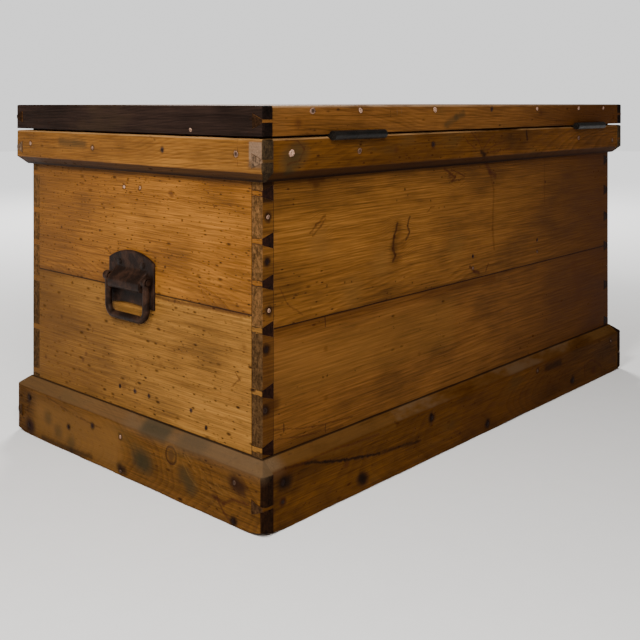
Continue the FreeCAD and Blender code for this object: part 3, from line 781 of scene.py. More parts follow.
def pine_material(
    name: str,
    pine: Pine,
    sawn: Sawn,
    seed: int,
    marks: Marks = (),
    knots: tuple[Knot, ...] = (),
    tones: tuple[Tone, ...] = (),
) -> bpy.types.Material:
    """The finish of one board.

    Growth rings mix the pale and the dark wood. Slow noise adds deeper patches, fine noise along the
    grain the fibres, scattered cells the pits and a last slow noise the grey smudges. Where a face
    looks along the grain it shows end grain.

    Args:
        name: Name of the material.
        pine: The kind of pine.
        sawn: How the board was sawn.
        seed: Start of the board's own random shift.
        marks: Stains and knots on it.
        knots: Places that its grain flows round.
        tones: Parts with a tone of their own.

    Returns:
        The material.
    """
    sheet = NodeSheet(name)
    shift = np.random.default_rng(seed).uniform(-9.0, 9.0, 3)
    rings = growth_rings(sheet, pine, sawn, knots, shift)
    patch = grained(sheet, sawn, PATCHES, shift)
    cloud = grained(sheet, sawn, CLOUDS, shift)
    fibre = grained(sheet, sawn, FIBRES, shift)
    streak = grained(sheet, sawn, STREAKS, shift)
    colour = sheet.mixed(sheet.sum("MULTIPLY", rings, pine.contrast), pine.pale, pine.dark)
    colour = sheet.mixed(sheet.step(patch, 0.4, 0.68, 0.0, pine.patches), colour, pine.deep)
    colour = sheet.mixed(sheet.step(streak, 0.48, 0.7, 0.0, pine.streaks), colour, pine.dark)
    light = sheet.sum("MULTIPLY_ADD", fibre, 1.9, 0.05)
    light = sheet.sum("MULTIPLY", light, sheet.sum("MULTIPLY_ADD", cloud, 1.9, 0.1))
    colour = sheet.vector("SCALE", colour, light)
    smudge = sheet.step(cloud, 0.52, 0.72, 0.0, pine.smudge)
    colour = sheet.mixed(smudge, colour, SMUDGE)
    pits = 0.0
    for along, across, size in ((95.0, 260.0, 0.34), (48.0, 110.0, 0.3)):
        dots = sheet.cells(stretched(sheet, sawn, along, across, shift + along))
        chance, large, deep = sheet.parts(dots.outputs["Color"])
        thick = sheet.sum("GREATER_THAN", sheet.sum("MULTIPLY_ADD", patch, 1.6, chance), 1.8 - pine.pits)
        span = sheet.sum("DIVIDE", dots.outputs["Distance"], sheet.sum("MULTIPLY_ADD", large, 0.9, 0.35))
        reach = sheet.step(span, 0.2 * size, size, 1.0, 0.0)
        reach = sheet.sum("MULTIPLY", reach, sheet.sum("MULTIPLY_ADD", deep, 0.6, 0.4))
        pits = sheet.sum("MAXIMUM", pits, sheet.sum("MULTIPLY", reach, thick))
    colour = sheet.mixed(pits, colour, PIT)
    speckle = sheet.noise(sheet.place, 420.0, 3.0, 0.65).outputs["Fac"]
    colour = toned(sheet, colour, tuple(tone for tone in tones if not tone.over_end), cloud, speckle)
    colour = marked(sheet, colour, marks)
    facing = sheet.sum("ABSOLUTE", sheet.parts(sheet.normal)[sawn.grain.value])
    end = sheet.step(facing, 0.25, 0.5)
    lines = sheet.noise(sheet.vector("MULTIPLY", sheet.place, (500.0, 500.0, 90.0)), 1.0, 2.0).outputs["Fac"]
    grime = sheet.noise(sheet.place, 150.0, 4.0, 0.65).outputs["Fac"]
    end_light = sheet.sum("MULTIPLY_ADD", lines, 1.3, sheet.step(grime, 0.36, 0.64, -0.1, 0.42))
    end_light = sheet.sum("MULTIPLY", end_light, sheet.step(speckle, 0.38, 0.58, 0.68, 1.14))
    end_colour = sheet.vector("SCALE", pine.end_grain, sheet.sum("MAXIMUM", end_light, 0.15))
    colour = sheet.mixed(end, colour, end_colour)
    colour = toned(sheet, colour, tuple(tone for tone in tones if tone.over_end), cloud, speckle)
    sheet.feed(sheet.shader.inputs["Base Color"], colour)
    rough = sheet.sum("MULTIPLY_ADD", cloud, 0.3, pine.roughness - 0.15)
    rough = sheet.sum("MULTIPLY_ADD", pits, 0.3, rough)
    sheet.feed(sheet.shader.inputs["Roughness"], sheet.sum("MULTIPLY_ADD", end, 0.2, rough))
    sheet.shader.inputs["Specular IOR Level"].default_value = pine.gloss
    height = sheet.sum("MULTIPLY_ADD", rings, 0.25, sheet.sum("MULTIPLY", fibre, 0.5))
    height = sheet.sum("MULTIPLY_ADD", pits, -0.9, height)
    height = sheet.sum("MULTIPLY_ADD", cloud, 1.0, height)
    sheet.bump(height, 0.0006)
    return sheet.material


@dataclass(frozen=True)
class Iron:
    """Old iron: dark metal with a warmer bloom and a patchy sheen."""

    slot: str
    dark: Colour
    bloom: Colour
    metallic: float
    smooth: float
    coarse: float
    gloss: float = 0.5

    def material(self, name: str) -> bpy.types.Material:
        """The finish as a material.

        Args:
            name: Name of the material.

        Returns:
            The material.
        """
        sheet = NodeSheet(name)
        slow = sheet.noise(sheet.place, 60.0, 4.0, 0.6).outputs["Fac"]
        fine = sheet.noise(sheet.place, 420.0, 3.0, 0.6).outputs["Fac"]
        colour = sheet.mixed(sheet.step(slow, 0.4, 0.66), self.dark, self.bloom)
        colour = sheet.vector("SCALE", colour, sheet.sum("MULTIPLY_ADD", fine, 0.9, 0.55))
        sheet.feed(sheet.shader.inputs["Base Color"], colour)
        sheet.shader.inputs["Metallic"].default_value = self.metallic
        sheet.shader.inputs["Specular IOR Level"].default_value = self.gloss
        rough = sheet.sum("MULTIPLY_ADD", slow, self.coarse, self.smooth)
        sheet.feed(sheet.shader.inputs["Roughness"], sheet.sum("MULTIPLY_ADD", fine, 0.15, rough))
        sheet.bump(sheet.sum("MULTIPLY_ADD", fine, 0.35, slow), 0.0007)
        return sheet.material


def nail_material() -> bpy.types.Material:
    """Nail heads, pale where their attribute is high and dark where it is low; the pale colour is partly the
    heads' own and partly painted glints of light.

    Returns:
        The material.
    """
    sheet = NodeSheet("nail_heads")
    pale_head_and_glint = sheet.tree.nodes.new("ShaderNodeAttribute")
    pale_head_and_glint.attribute_name = "pale_head_and_glint"
    fine = sheet.noise(sheet.place, 700.0, 3.0, 0.6).outputs["Fac"]
    share = sheet.sum("MULTIPLY", pale_head_and_glint.outputs["Fac"], sheet.step(fine, 0.38, 0.6, 0.25, 1.0))
    colour = sheet.mixed(share, (0.01, 0.0045, 0.003), (0.46, 0.27, 0.18))
    sheet.feed(sheet.shader.inputs["Base Color"], colour)
    sheet.shader.inputs["Specular IOR Level"].default_value = 0.03
    sheet.feed(sheet.shader.inputs["Roughness"], sheet.sum("MULTIPLY_ADD", fine, 0.3, 0.4))
    sheet.bump(fine, 0.0003)
    return sheet.material


END_PINE = Pine(
    "pine_end", (0.205, 0.08, 0.0118), (0.08, 0.027, 0.0036), (0.108, 0.039, 0.0056),
    (0.014, 0.0045, 0.002), contrast=0.5, streaks=0.4, pits=0.42, ring_width=2.4,
    patches=0.6, roughness=0.5, gloss=0.05,
)
LOW_END_PINE = Pine(
    "pine_end", (0.23, 0.1065, 0.0218), (0.094, 0.0372, 0.0066), (0.116, 0.0495, 0.009),
    (0.014, 0.0045, 0.002), contrast=0.45, streaks=0.35, pits=0.62, ring_width=2.2,
    patches=0.6, roughness=0.55, gloss=0.04,
)
SIDE_PINE = Pine(
    "pine_side", (0.13, 0.0536, 0.0106), (0.05, 0.0172, 0.0029), (0.07, 0.027, 0.005),
    (0.1, 0.048, 0.016), contrast=0.5, streaks=0.26, pits=0.08, ring_width=2.7,
    patches=0.6, smudge=0.16, roughness=0.55, gloss=0.015,
)
LOW_SIDE_PINE = Pine(
    "pine_side", (0.112, 0.045, 0.0096), (0.05, 0.017, 0.003), (0.062, 0.0235, 0.0045),
    (0.06, 0.03, 0.011), contrast=0.4, streaks=0.22, pits=0.06, ring_width=5.0,
    patches=0.4, smudge=0.2, roughness=0.55, gloss=0.015,
)
PLINTH_PINE = Pine(
    "pine_plinth", (0.084, 0.0348, 0.0064), (0.034, 0.0115, 0.002), (0.041, 0.0165, 0.0032),
    (0.012, 0.0048, 0.002), contrast=0.45, streaks=0.35, pits=0.25, ring_width=3.4,
    patches=0.8, smudge=0.6, roughness=0.6, gloss=0.02,
)
SKIRT_PINE = Pine(
    "pine_skirt", (0.172, 0.0715, 0.0125), (0.07, 0.0235, 0.0036), (0.09, 0.035, 0.0056),
    (0.028, 0.0165, 0.007), contrast=0.5, streaks=0.4, pits=0.25, ring_width=2.8,
    patches=0.7, smudge=0.5, roughness=0.55, gloss=0.05,
)
BACK_SKIRT_PINE = Pine(
    "pine_skirt", (0.096, 0.0362, 0.006), (0.034, 0.011, 0.0016), (0.046, 0.0165, 0.0026),
    (0.11, 0.066, 0.038), contrast=0.5, streaks=0.35, pits=0.1, ring_width=3.4,
    patches=0.8, smudge=0.55, roughness=0.6, gloss=0.015,
)
BACK_PLINTH_PINE = Pine(
    "pine_plinth", (0.07, 0.0262, 0.004), (0.027, 0.0088, 0.0014), (0.034, 0.0124, 0.002),
    (0.04, 0.019, 0.008), contrast=0.35, streaks=0.25, pits=0.15, ring_width=4.4,
    patches=0.8, smudge=0.6, roughness=0.65, gloss=0.015,
)
RIM_PINE = Pine(
    "pine_lid", (0.124, 0.05, 0.0112), (0.048, 0.0162, 0.003), (0.066, 0.0245, 0.0048),
    (0.02, 0.009, 0.004), contrast=0.5, streaks=0.4, pits=0.08, ring_width=3.0,
    patches=0.7, smudge=0.45, roughness=0.6, gloss=0.015,
)
LID_PINE = Pine(
    "pine_lid", (0.15, 0.06, 0.0095), (0.07, 0.025, 0.004), (0.09, 0.036, 0.006),
    (0.04, 0.02, 0.007), contrast=0.5, streaks=0.35, pits=0.15, ring_width=3.0,
    roughness=0.55,
)
DARK_PINE = Pine(
    "pine_dark", (0.0185, 0.0098, 0.0068), (0.0065, 0.0033, 0.0022), (0.0095, 0.005, 0.0034),
    (0.006, 0.003, 0.002), contrast=0.5, streaks=0.5, pits=0.3, ring_width=3.0,
    smudge=0.2, roughness=0.62,
)
RAW_PINE = Pine(
    "pine_inside", (0.52, 0.35, 0.19), (0.34, 0.19, 0.085), (0.42, 0.26, 0.13),
    (0.3, 0.19, 0.1), contrast=0.6, pits=0.02, ring_width=3.0,
    roughness=0.6, smudge=0.15,
)
TILL_PINE = Pine(
    "pine_till", (0.54, 0.37, 0.2), (0.36, 0.21, 0.09), (0.45, 0.29, 0.15),
    (0.32, 0.2, 0.11), contrast=0.6, pits=0.01, ring_width=2.6,
    roughness=0.55, smudge=0.1,
)
BOTTOM_PINE = Pine(
    "pine_bottom", (0.33, 0.22, 0.13), (0.2, 0.12, 0.065), (0.25, 0.16, 0.09),
    (0.2, 0.13, 0.08), contrast=0.6, pits=0.05, ring_width=3.4,
    roughness=0.7, smudge=0.4,
)
HANDLE_IRON = Iron("handle_iron", (0.009, 0.0048, 0.0032), (0.028, 0.0132, 0.0078), 0.0, 0.2, 0.3, 0.05)
HINGE_IRON = Iron("hinge_iron", (0.003, 0.0025, 0.002), (0.008, 0.006, 0.0045), 0.0, 0.2, 0.3, 0.12)
LOCK_STEEL = Iron("lock_steel", (0.3, 0.28, 0.25), (0.2, 0.15, 0.11), 0.9, 0.3, 0.3)
SCREW_STEEL = Iron("screw_steel", (0.01, 0.0058, 0.004), (0.02, 0.0105, 0.0066), 0.0, 0.3, 0.2, 0.1)


def dressed(piece: bpy.types.Object, body: str, material: bpy.types.Material) -> bpy.types.Object:
    """Gives a piece its finish and the body that it moves with.

    Args:
        piece: The piece.
        body: The body that it moves with.
        material: Its material.

    Returns:
        The piece.
    """
    piece.data.materials.clear()
    piece.data.materials.append(material)
    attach(piece, body)
    LOG.info("%s rides on %s", piece.name, body)
    return piece


# Boards


@dataclass(frozen=True)
class Board:
    """One board: its node, finish, sawing and the marks on it."""

    node: str
    pine: Pine
    sawn: Sawn
    seed: int
    marks: Marks = ()
    knots: tuple[Knot, ...] = ()
    tones: tuple[Tone, ...] = ()
    edge: float = 0.5

    def joint_lines(self) -> tuple[Tone, ...]:
        """Dirt along the joint between a lower and an upper board.

        Returns:
            Two tones at the joint, or none on a board without one.
        """
        low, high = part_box(self.node)
        joint = {"upper": low[2] / MM, "lower": high[2] / MM}.get(self.node.rsplit("_", 1)[-1])
        if joint is None:
            return ()
        return (
            Tone(JOINT_DIRT_AND_SHADE, 0.3, height=(joint - 4.0, joint + 4.0), soft=4.0),
            Tone(BLACK_STAIN_AND_SHADE, 0.9, height=(joint - 0.9, joint + 0.9), soft=0.7),
        )

    def material(self) -> bpy.types.Material:
        """The board's own finish.

        Returns:
            The material.
        """
        tones = self.tones
        if "board_" in self.node and not self.node.startswith("lid"):
            tones += self.joint_lines()
        name = self.node + "_finish"
        return pine_material(name, self.pine, self.sawn, self.seed, self.marks, self.knots, tones)

    def build(self, body: str) -> bpy.types.Object:
        """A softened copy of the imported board, dressed."""
        piece = softened(self.node, self.node + "_wood", self.edge)
        return dressed(piece, body, self.material())


# Nails


@dataclass(frozen=True)
class Nail:
    """One nail head: its place, the axis it faces, its radius, how pale it is, partly as a painted glint, and
    how dark its middle.
    """

    place: Point
    facing: Axis
    radius: float
    pale_head_and_glint: float
    hollow: float = 0.0


def nails(face: Face, proud: float, *rows: tuple[float, ...]) -> tuple[Nail, ...]:
    """Nails of one face, from rows of distance from the near corner, height, radius, paleness (partly a
    painted glint) and hollow.

    Args:
        face: on_back or on_end.
        proud: How far they stand out of the carcase.
        rows: One for each nail; hollow may be left out.

    Returns:
        The nails.
    """
    facing = Axis.WIDTH if face is on_back else Axis.LENGTH
    return tuple(Nail(face(along, height, proud), facing, *look) for along, height, *look in rows)


def nail_halos(heads: tuple[Nail, ...], reach: float = 6.5, strength: float = 0.75) -> Marks:
    """Dark stains round nail heads.

    Args:
        heads: The nails.
        reach: Radius of the stain.
        strength: How much it covers.

    Returns:
        The marks.
    """
    return tuple(Mark(nail.place, reach, strength, None, BLACK_STAIN_AND_SHADE, 0.25) for nail in heads)


END_UPPER_NAILS = nails(on_end, 0.0, (285, 404.6, 2.6, 1), (247.3, 405.5, 2.2, 0.8, 0.3))
END_LOWER_NAILS = nails(
    on_end, 0.0, (294.6, 117, 2.8, 0.01), (258.9, 117, 3, 0.16, 0.9), (226.7, 117, 2.6, 0.05, 0.5),
    (136.1, 117, 2.8, 0.18, 0.8), (105.8, 101, 2.6, 0.02),
)
BACK_CORNER_NAILS = nails(
    on_back, 0.0, (9.5, 384, 2.7, 0.6, 0.5), (7.7, 329, 3.4, 0), (11.2, 268, 2.7, 0.7, 0.2),
    (6, 220.5, 3.8, 0), (4.3, 146, 3.6, 0.04, 0.8),
)
BACK_PARTITION_NAILS = nails(
    on_back, 0.0, (467, 280, 2.6, 0), (467, 261, 2.2, 0.25, 0.2), (671, 284, 2.6, 0),
    (671, 263, 2.2, 0.2, 0.2),
)
PLINTH_END_NAILS = nails(
    on_end, NAIL_PROUD, (510, 59, 2.6, 0.01), (510, 16, 3.4, 0), (336.6, 54.6, 3.2, 0.07, 0.9),
    (268, 55, 2.6, 0.7), (268, 6.6, 2.6, 0.2, 0.4), (31, 55.5, 2.8, 0.16, 0.6), (32.7, 6.8, 3, 0),
    (399, 38.5, 2.6, 0.01),
)
PLINTH_BACK_NAILS = nails(
    on_back, NAIL_PROUD, (16.6, 58.5, 3.4, 0), (16.6, 35, 2.6, 0.02), (329, 60.5, 3.2, 0), (481, 13, 3.4, 0),
    (640, 64, 2.4, 0.2, 0.7), (767, 19, 3.4, 0), (923, 62, 2.2, 0.25),
)
SKIRT_END_NAILS = nails(
    on_end, NAIL_PROUD, (507, 461, 2.8, 0.8, 0.2), (336.6, 459.5, 2.6, 0.6, 0.4),
    (173.4, 462, 3.4, 0.12, 0.9), (28, 462, 4, 0.5, 0.8),
)
SKIRT_BACK_NAILS = nails(
    on_back, NAIL_PROUD, (32.5, 462.5, 4.8, 1), (163.7, 460.6, 4, 0.4, 0.7), (332.7, 463.7, 3.4, 0.03, 1),
    (790.4, 460.5, 3.6, 0.4, 0.8), (929.3, 452.7, 3, 0.3, 0.2),
)
RIM_END_NAILS = nails(on_end, NAIL_PROUD, (115, 490, 2.6, 0.9, 0.8))
RIM_BACK_NAILS = nails(
    on_back, NAIL_PROUD, (70.8, 515, 4.6, 0.6, 0.9), (165.8, 515, 3.6, 0.9), (337.8, 515, 4, 0.9),
    (493.2, 515, 3.6, 0.1, 1), (638.5, 515, 3.4, 0.8), (790.4, 515, 3.4, 0.8), (890.8, 515, 3.4, 0.8),
)


# Carcase


def pin_lines(*shares: float) -> Marks:
    """Dark lines above and below the pins' ends, whose middles lie at shares of the carcase's height.

    Args:
        shares: One for each pin.

    Returns:
        The marks.
    """
    half_gap = 3.7
    lines = ()
    for share in shares:
        middle = BODY_BASE + BODY_HEIGHT * share
        for level in (middle - half_gap, middle + half_gap):
            lines += END.line(1.7, 0.85, BLACK_STAIN_AND_SHADE, (0.0, level), (18.5, level))
    return lines


# Painted shade: the carcase darkened just under the skirt's foot, where the skirt shades it.
PAINTED_SHADE_UNDER_SKIRT = Tone(JOINT_DIRT_AND_SHADE, 0.55, height=(421, 440), soft=7)
PLINTH_LINE = Tone(BLACK_STAIN_AND_SHADE, 0.9, height=(80, 88), soft=0.7)
END_SCRIBE = Tone(BLACK_STAIN_AND_SHADE, 0.8, width=(245.3, 246.7), soft=0.6)
END_ARRIS = Tone(BLACK_STAIN_AND_SHADE, 0.6, width=(263.8, 268), soft=0.8, patch_from=0.4, patch_to=0.5)
# Tones of the back's boards: painted shade under the skirt, a dark scribe line and painted shade towards the
# far end.
BACK_TONES = (
    PAINTED_SHADE_UNDER_SKIRT,
    Tone(BLACK_STAIN_AND_SHADE, 0.7, length=(455.4, 456.5), soft=0.5),
    Tone(DARK_BROWN_AND_FALLOFF_SHADE, 0.8, length=(-900, -150), soft=330),
)
END_SAWN = Sawn(Axis.WIDTH, Axis.HEIGHT, 235.0, 60.0, 0.06)


def end_upper() -> Board:
    """The upper board of the right-hand end.

    Returns:
        The board with its marks and tones.
    """
    dots = END.dots
    return Board(
        "right_end_board_upper", END_PINE, END_SAWN, 11,
        nail_halos(END_UPPER_NAILS)
        + dots(3.4, 0.85, PIT, (191.1, 300.5), (154.3, 367.6), (344.7, 336.5), (446.8, 332.4))
        + dots(9, 0.6, RED_KNOT, (177.5, 401.8))
        + dots(2.6, 0.7, PIT, (426.8, 269.4), (60, 384), (90, 391))
        + pin_lines(0.5781, 0.6878, 0.8127),
        (Knot(on_end(178.1, 400.2), 26),),
        # Painted shade under the skirt and towards the far side, with the scribe line and the dark arris.
        (PAINTED_SHADE_UNDER_SKIRT, END_SCRIBE, END_ARRIS, Tone(OLIVE_FALLOFF_SHADE, 0.55, width=(-600, -110), soft=150)),
    )


def end_lower() -> Board:
    """The lower board of the right-hand end.

    Returns:
        The board with its marks and tones.
    """
    line, dots = END.line, END.dots
    return Board(
        "right_end_board_lower", LOW_END_PINE, Sawn(Axis.WIDTH, Axis.HEIGHT, 20.0, 50.0, -0.05), 12,
        nail_halos(END_LOWER_NAILS, 5)
        + dots(5.5, 0.5, RED_KNOT, (492, 123), (446.8, 193.6), (380.4, 147.8), (388, 137.8))
        + dots(8, 0.3, AMBER_STAIN, (286.4, 117.5), (252.5, 154.8), (200.6, 164.6), (33.4, 219.7))
        + line(2.2, 0.5, RED_KNOT, (53.6, 167), (41.3, 176.8), (49.3, 184.2))
        + line(4.5, 0.6, RED_KNOT, (330, 259.5), (215, 257), (170, 256.5), (30, 259.5))
        + pin_lines(0.1445, 0.2932, 0.4557),
        (),
        # Scribe line, dark arris and the line at the plinth, with painted shade towards the far side.
        (END_SCRIBE, END_ARRIS, PLINTH_LINE, Tone(OLIVE_FALLOFF_SHADE, 0.7, width=(-600, -60), soft=200)),
    )


def back_upper() -> Board:
    """The upper board of the back, with its two cracks and the knots that the grain flows round.

    Returns:
        The board with its marks and tones.
    """
    line, dots = BACK.line, BACK.dots
    crack = (0.02, 0.007, 0.0026)
    return Board(
        "back_board_upper", SIDE_PINE, Sawn(Axis.LENGTH, Axis.HEIGHT, 225.0, 50.0, 0.04), 21,
        nail_halos(BACK_CORNER_NAILS[:3], 10, 0.9)
        + nail_halos(BACK_PARTITION_NAILS, 4.5)
        + line(3.8, 0.85, crack, (270, 351), (263, 333), (259.6, 315.5), (266, 306), (260, 298))
        + line(15, 0.4, JOINT_DIRT_AND_SHADE, (272, 348), (262, 316), (262, 300))
        + line(3.2, 0.7, crack, (300, 358), (293.7, 346), (299, 335.7), (291.3, 325.6))
        + dots(14, 0.35, AMBER_STAIN, (282, 318), (272, 300))
        + dots(34, 0.4, PALE_LINE, (103, 340), (232, 300), (170, 268), (420, 300))
        + line(3.6, 0.7, RED_KNOT, (388, 424), (418, 409), (407, 403))
        + dots(11, 0.5, RED_KNOT, (404, 412))
        + line(2.2, 0.55, RED_KNOT, (407, 421), (427.5, 415), (445, 409))
        + line(2.2, 0.55, RED_KNOT, (410, 404), (427.5, 404.3), (443, 407.3))
        + line(2, 0.5, RED_KNOT, (343, 361), (352, 367), (362, 367.7))
        + line(3, 0.5, RED_KNOT, (86.5, 356.5), (97, 365.2), (115, 376.6))
        + line(2.6, 0.45, RED_KNOT, (91.2, 352.8), (106.6, 364.2), (115, 371.6))
        + dots(11, 0.8, JOINT_DIRT_AND_SHADE, (88, 427), (97, 420), (108, 427))
        + line(4.6, 0.75, RED_KNOT, (459, 264), (471, 255.2), (484.3, 251.4))
        + line(3, 0.6, RED_KNOT, (512.4, 262), (505, 251.5))
        + line(4.5, 0.4, AMBER_STAIN, (517.7, 412), (529, 382.6), (525.3, 317.4), (530.6, 284))
        + line(8, 0.6, RED_KNOT, (502.7, 431), (517.7, 412), (533, 405))
        + line(4, 0.35, AMBER_STAIN, (697, 424), (697, 350))
        + line(2.2, 0.4, RED_KNOT, (30.3, 292.2), (43.6, 271.4), (71, 252.7))
        + dots(3.4, 0.85, PIT, (288.3, 399.1), (699.8, 384.1), (529.1, 392.8))
        + dots(
            2.5, 0.7, PIT, (373.8, 364.8), (387.6, 365.6), (268.3, 384.4), (351.9, 377.1), (295.5, 389.5),
            (153.9, 282.4), (168.4, 281.4), (265.9, 268.3), (305.8, 260.8), (720.5, 291.2), (54.9, 396.1),
            (118.8, 282.5),
        ),
        (Knot(on_back(274, 330), 45), Knot(on_back(424, 406), 34), Knot(on_back(110, 366), 30)),
        BACK_TONES + (
            Tone(JOINT_DIRT_AND_SHADE, 0.3, length=(456, 480)),
            # Dark over the corner strip from the top pin up to under the skirt.
            Tone(BLACK_STAIN_AND_SHADE, 0.8, length=(457, 480), height=(402, 440), soft=2),
        ),
    )


def back_lower() -> Board:
    """The lower board of the back.

    Returns:
        The board with its marks and tones.
    """
    line, dots = BACK.line, BACK.dots
    return Board(
        "back_board_lower", LOW_SIDE_PINE, Sawn(Axis.LENGTH, Axis.HEIGHT, 10.0, 50.0, 0.05), 22,
        dots(16, 0.7, JOINT_DIRT_AND_SHADE, (8, 146), (20, 149))
        + nail_halos(BACK_CORNER_NAILS[3:], 11, 0.9)
        + line(18, 0.45, AMBER_STAIN, (807.3, 224.2), (830, 165))
        + line(2, 0.6, BLACK_STAIN_AND_SHADE, (115, 245), (115, 231))
        + line(2, 0.6, BLACK_STAIN_AND_SHADE, (36.9, 121), (36.9, 111))
        + line(2, 0.6, BLACK_STAIN_AND_SHADE, (115, 101), (115, 91))
        + line(1.8, 0.5, RED_KNOT, (20, 118), (90, 104), (170, 97))
        + line(1.8, 0.5, RED_KNOT, (22, 105), (80, 96), (150, 91))
        + dots(2.6, 0.75, PIT, (111, 164.2), (118.8, 164.7), (640, 90), (690, 150))
        + dots(6, 0.4, AMBER_STAIN, (116.3, 200.7), (323, 152.5), (116.3, 135.1)),
        (),
        BACK_TONES + (
            Tone(JOINT_DIRT_AND_SHADE, 0.6, length=(456, 480)),
            Tone((0.12, 0.056, 0.012), 0.3, length=(60, 452), height=(150, 222), soft=16),
            # A darker band along the top of the lower board, in the same brown as the painted far-end shade.
            Tone(DARK_BROWN_AND_FALLOFF_SHADE, 0.4, length=(-60, 456), height=(231, 246), soft=5),
            PLINTH_LINE,
        ),
    )


@dataclass(frozen=True)
class Carcase:
    """The dovetailed box, its bottom and what is fixed inside it."""

    body: str = "chest"

    def outer_boards(self) -> tuple[Board, ...]:
        """The eight boards of the four sides.

        Returns:
            The boards.
        """
        return (
            end_upper(),
            end_lower(),
            back_upper(),
            back_lower(),
            Board("left_end_board_upper", END_PINE, END_SAWN, 13),
            Board("left_end_board_lower", END_PINE, Sawn(Axis.WIDTH, Axis.HEIGHT, 100.0, 80.0, 0.14), 14),
            Board("front_board_upper", SIDE_PINE, Sawn(Axis.LENGTH, Axis.HEIGHT, 420.0, 60.0, 0.1), 23),
            Board("front_board_lower", LOW_SIDE_PINE, Sawn(Axis.LENGTH, Axis.HEIGHT, 120.0, 50.0, -0.1), 24),
        )

    def inner_boards(self) -> tuple[Board, ...]:
        """The bottom and its battens, the partitions and the runners of the tills.

        Returns:
            The boards.
        """
        upright = Sawn(Axis.WIDTH, Axis.HEIGHT, 170.0, 60.0)
        fixed = (
            "right_partition", "left_partition", "right_lower_runner", "right_upper_runner",
            "left_lower_runner", "left_upper_runner",
        )
        return (
            Board("bottom_boards", BOTTOM_PINE, Sawn(Axis.WIDTH, Axis.LENGTH, 60.0, 90.0), 31),
            Board("bottom_battens", BOTTOM_PINE, Sawn(Axis.LENGTH, Axis.WIDTH, 40.0, 50.0), 32),
        ) + tuple(Board(node, RAW_PINE, upright, seed) for seed, node in enumerate(fixed, 33))

    def build(self) -> None:
        """Builds and dresses every board of the carcase."""
        for board in self.outer_boards() + self.inner_boards():
            board.build(self.body)


@dataclass(frozen=True)
class Till:
    """A sliding till of five thin boards."""

    name: str
    seed: int

    def build(self) -> None:
        """Builds and dresses the till's boards."""
        long_wall = Sawn(Axis.LENGTH, Axis.HEIGHT, 300.0, 60.0)
        end_wall = Sawn(Axis.WIDTH, Axis.HEIGHT, 320.0, 60.0)
        sawings = {
            "front": long_wall,
            "back": long_wall,
            "right_end": end_wall,
            "left_end": end_wall,
            "bottom": Sawn(Axis.LENGTH, Axis.WIDTH, 60.0, 40.0),
        }
        for index, (part, sawn) in enumerate(sawings.items()):
            Board(f"{self.name}_{part}", TILL_PINE, sawn, self.seed + index, edge=0.4).build(self.name)


# Frames round the chest


def rounded_section(corners: np.ndarray, cuts: np.ndarray, bend: int = 5, flat: int = 7) -> np.ndarray:
    """A closed section whose corners are rounded by another amount at each station.

    Each corner becomes a curve of second degree between the two points that lie its cut length away
    along either side, with the corner itself as the control point. Evenly spaced points fill the
    flats between the curves.

    Args:
        corners: The corners of the section, of shape (corners, 2).
        cuts: Cut lengths of shape (stations, corners).
        bend: Points on each curve.
        flat: Points on each flat.

    Returns:
        Points of shape (stations, corners * (bend + flat), 2).
    """
    before = np.roll(corners, 1, axis=0) - corners
    after = np.roll(corners, -1, axis=0) - corners
    before /= np.linalg.norm(before, axis=1, keepdims=True)
    after /= np.linalg.norm(after, axis=1, keepdims=True)
    start = corners + cuts[..., None] * before
    finish = corners + cuts[..., None] * after
    turn = np.linspace(0.0, 1.0, bend)[:, None]
    curve = (1 - turn) ** 2 * start[:, :, None]
    curve = curve + 2 * turn * (1 - turn) * corners[None, :, None] + turn**2 * finish[:, :, None]
    share = (np.arange(1, flat + 1) / (flat + 1))[:, None]
    sides = finish[:, :, None] * (1 - share) + np.roll(start, -1, axis=1)[:, :, None] * share
    return np.concatenate([curve, sides], axis=2).reshape(len(cuts), -1, 2)


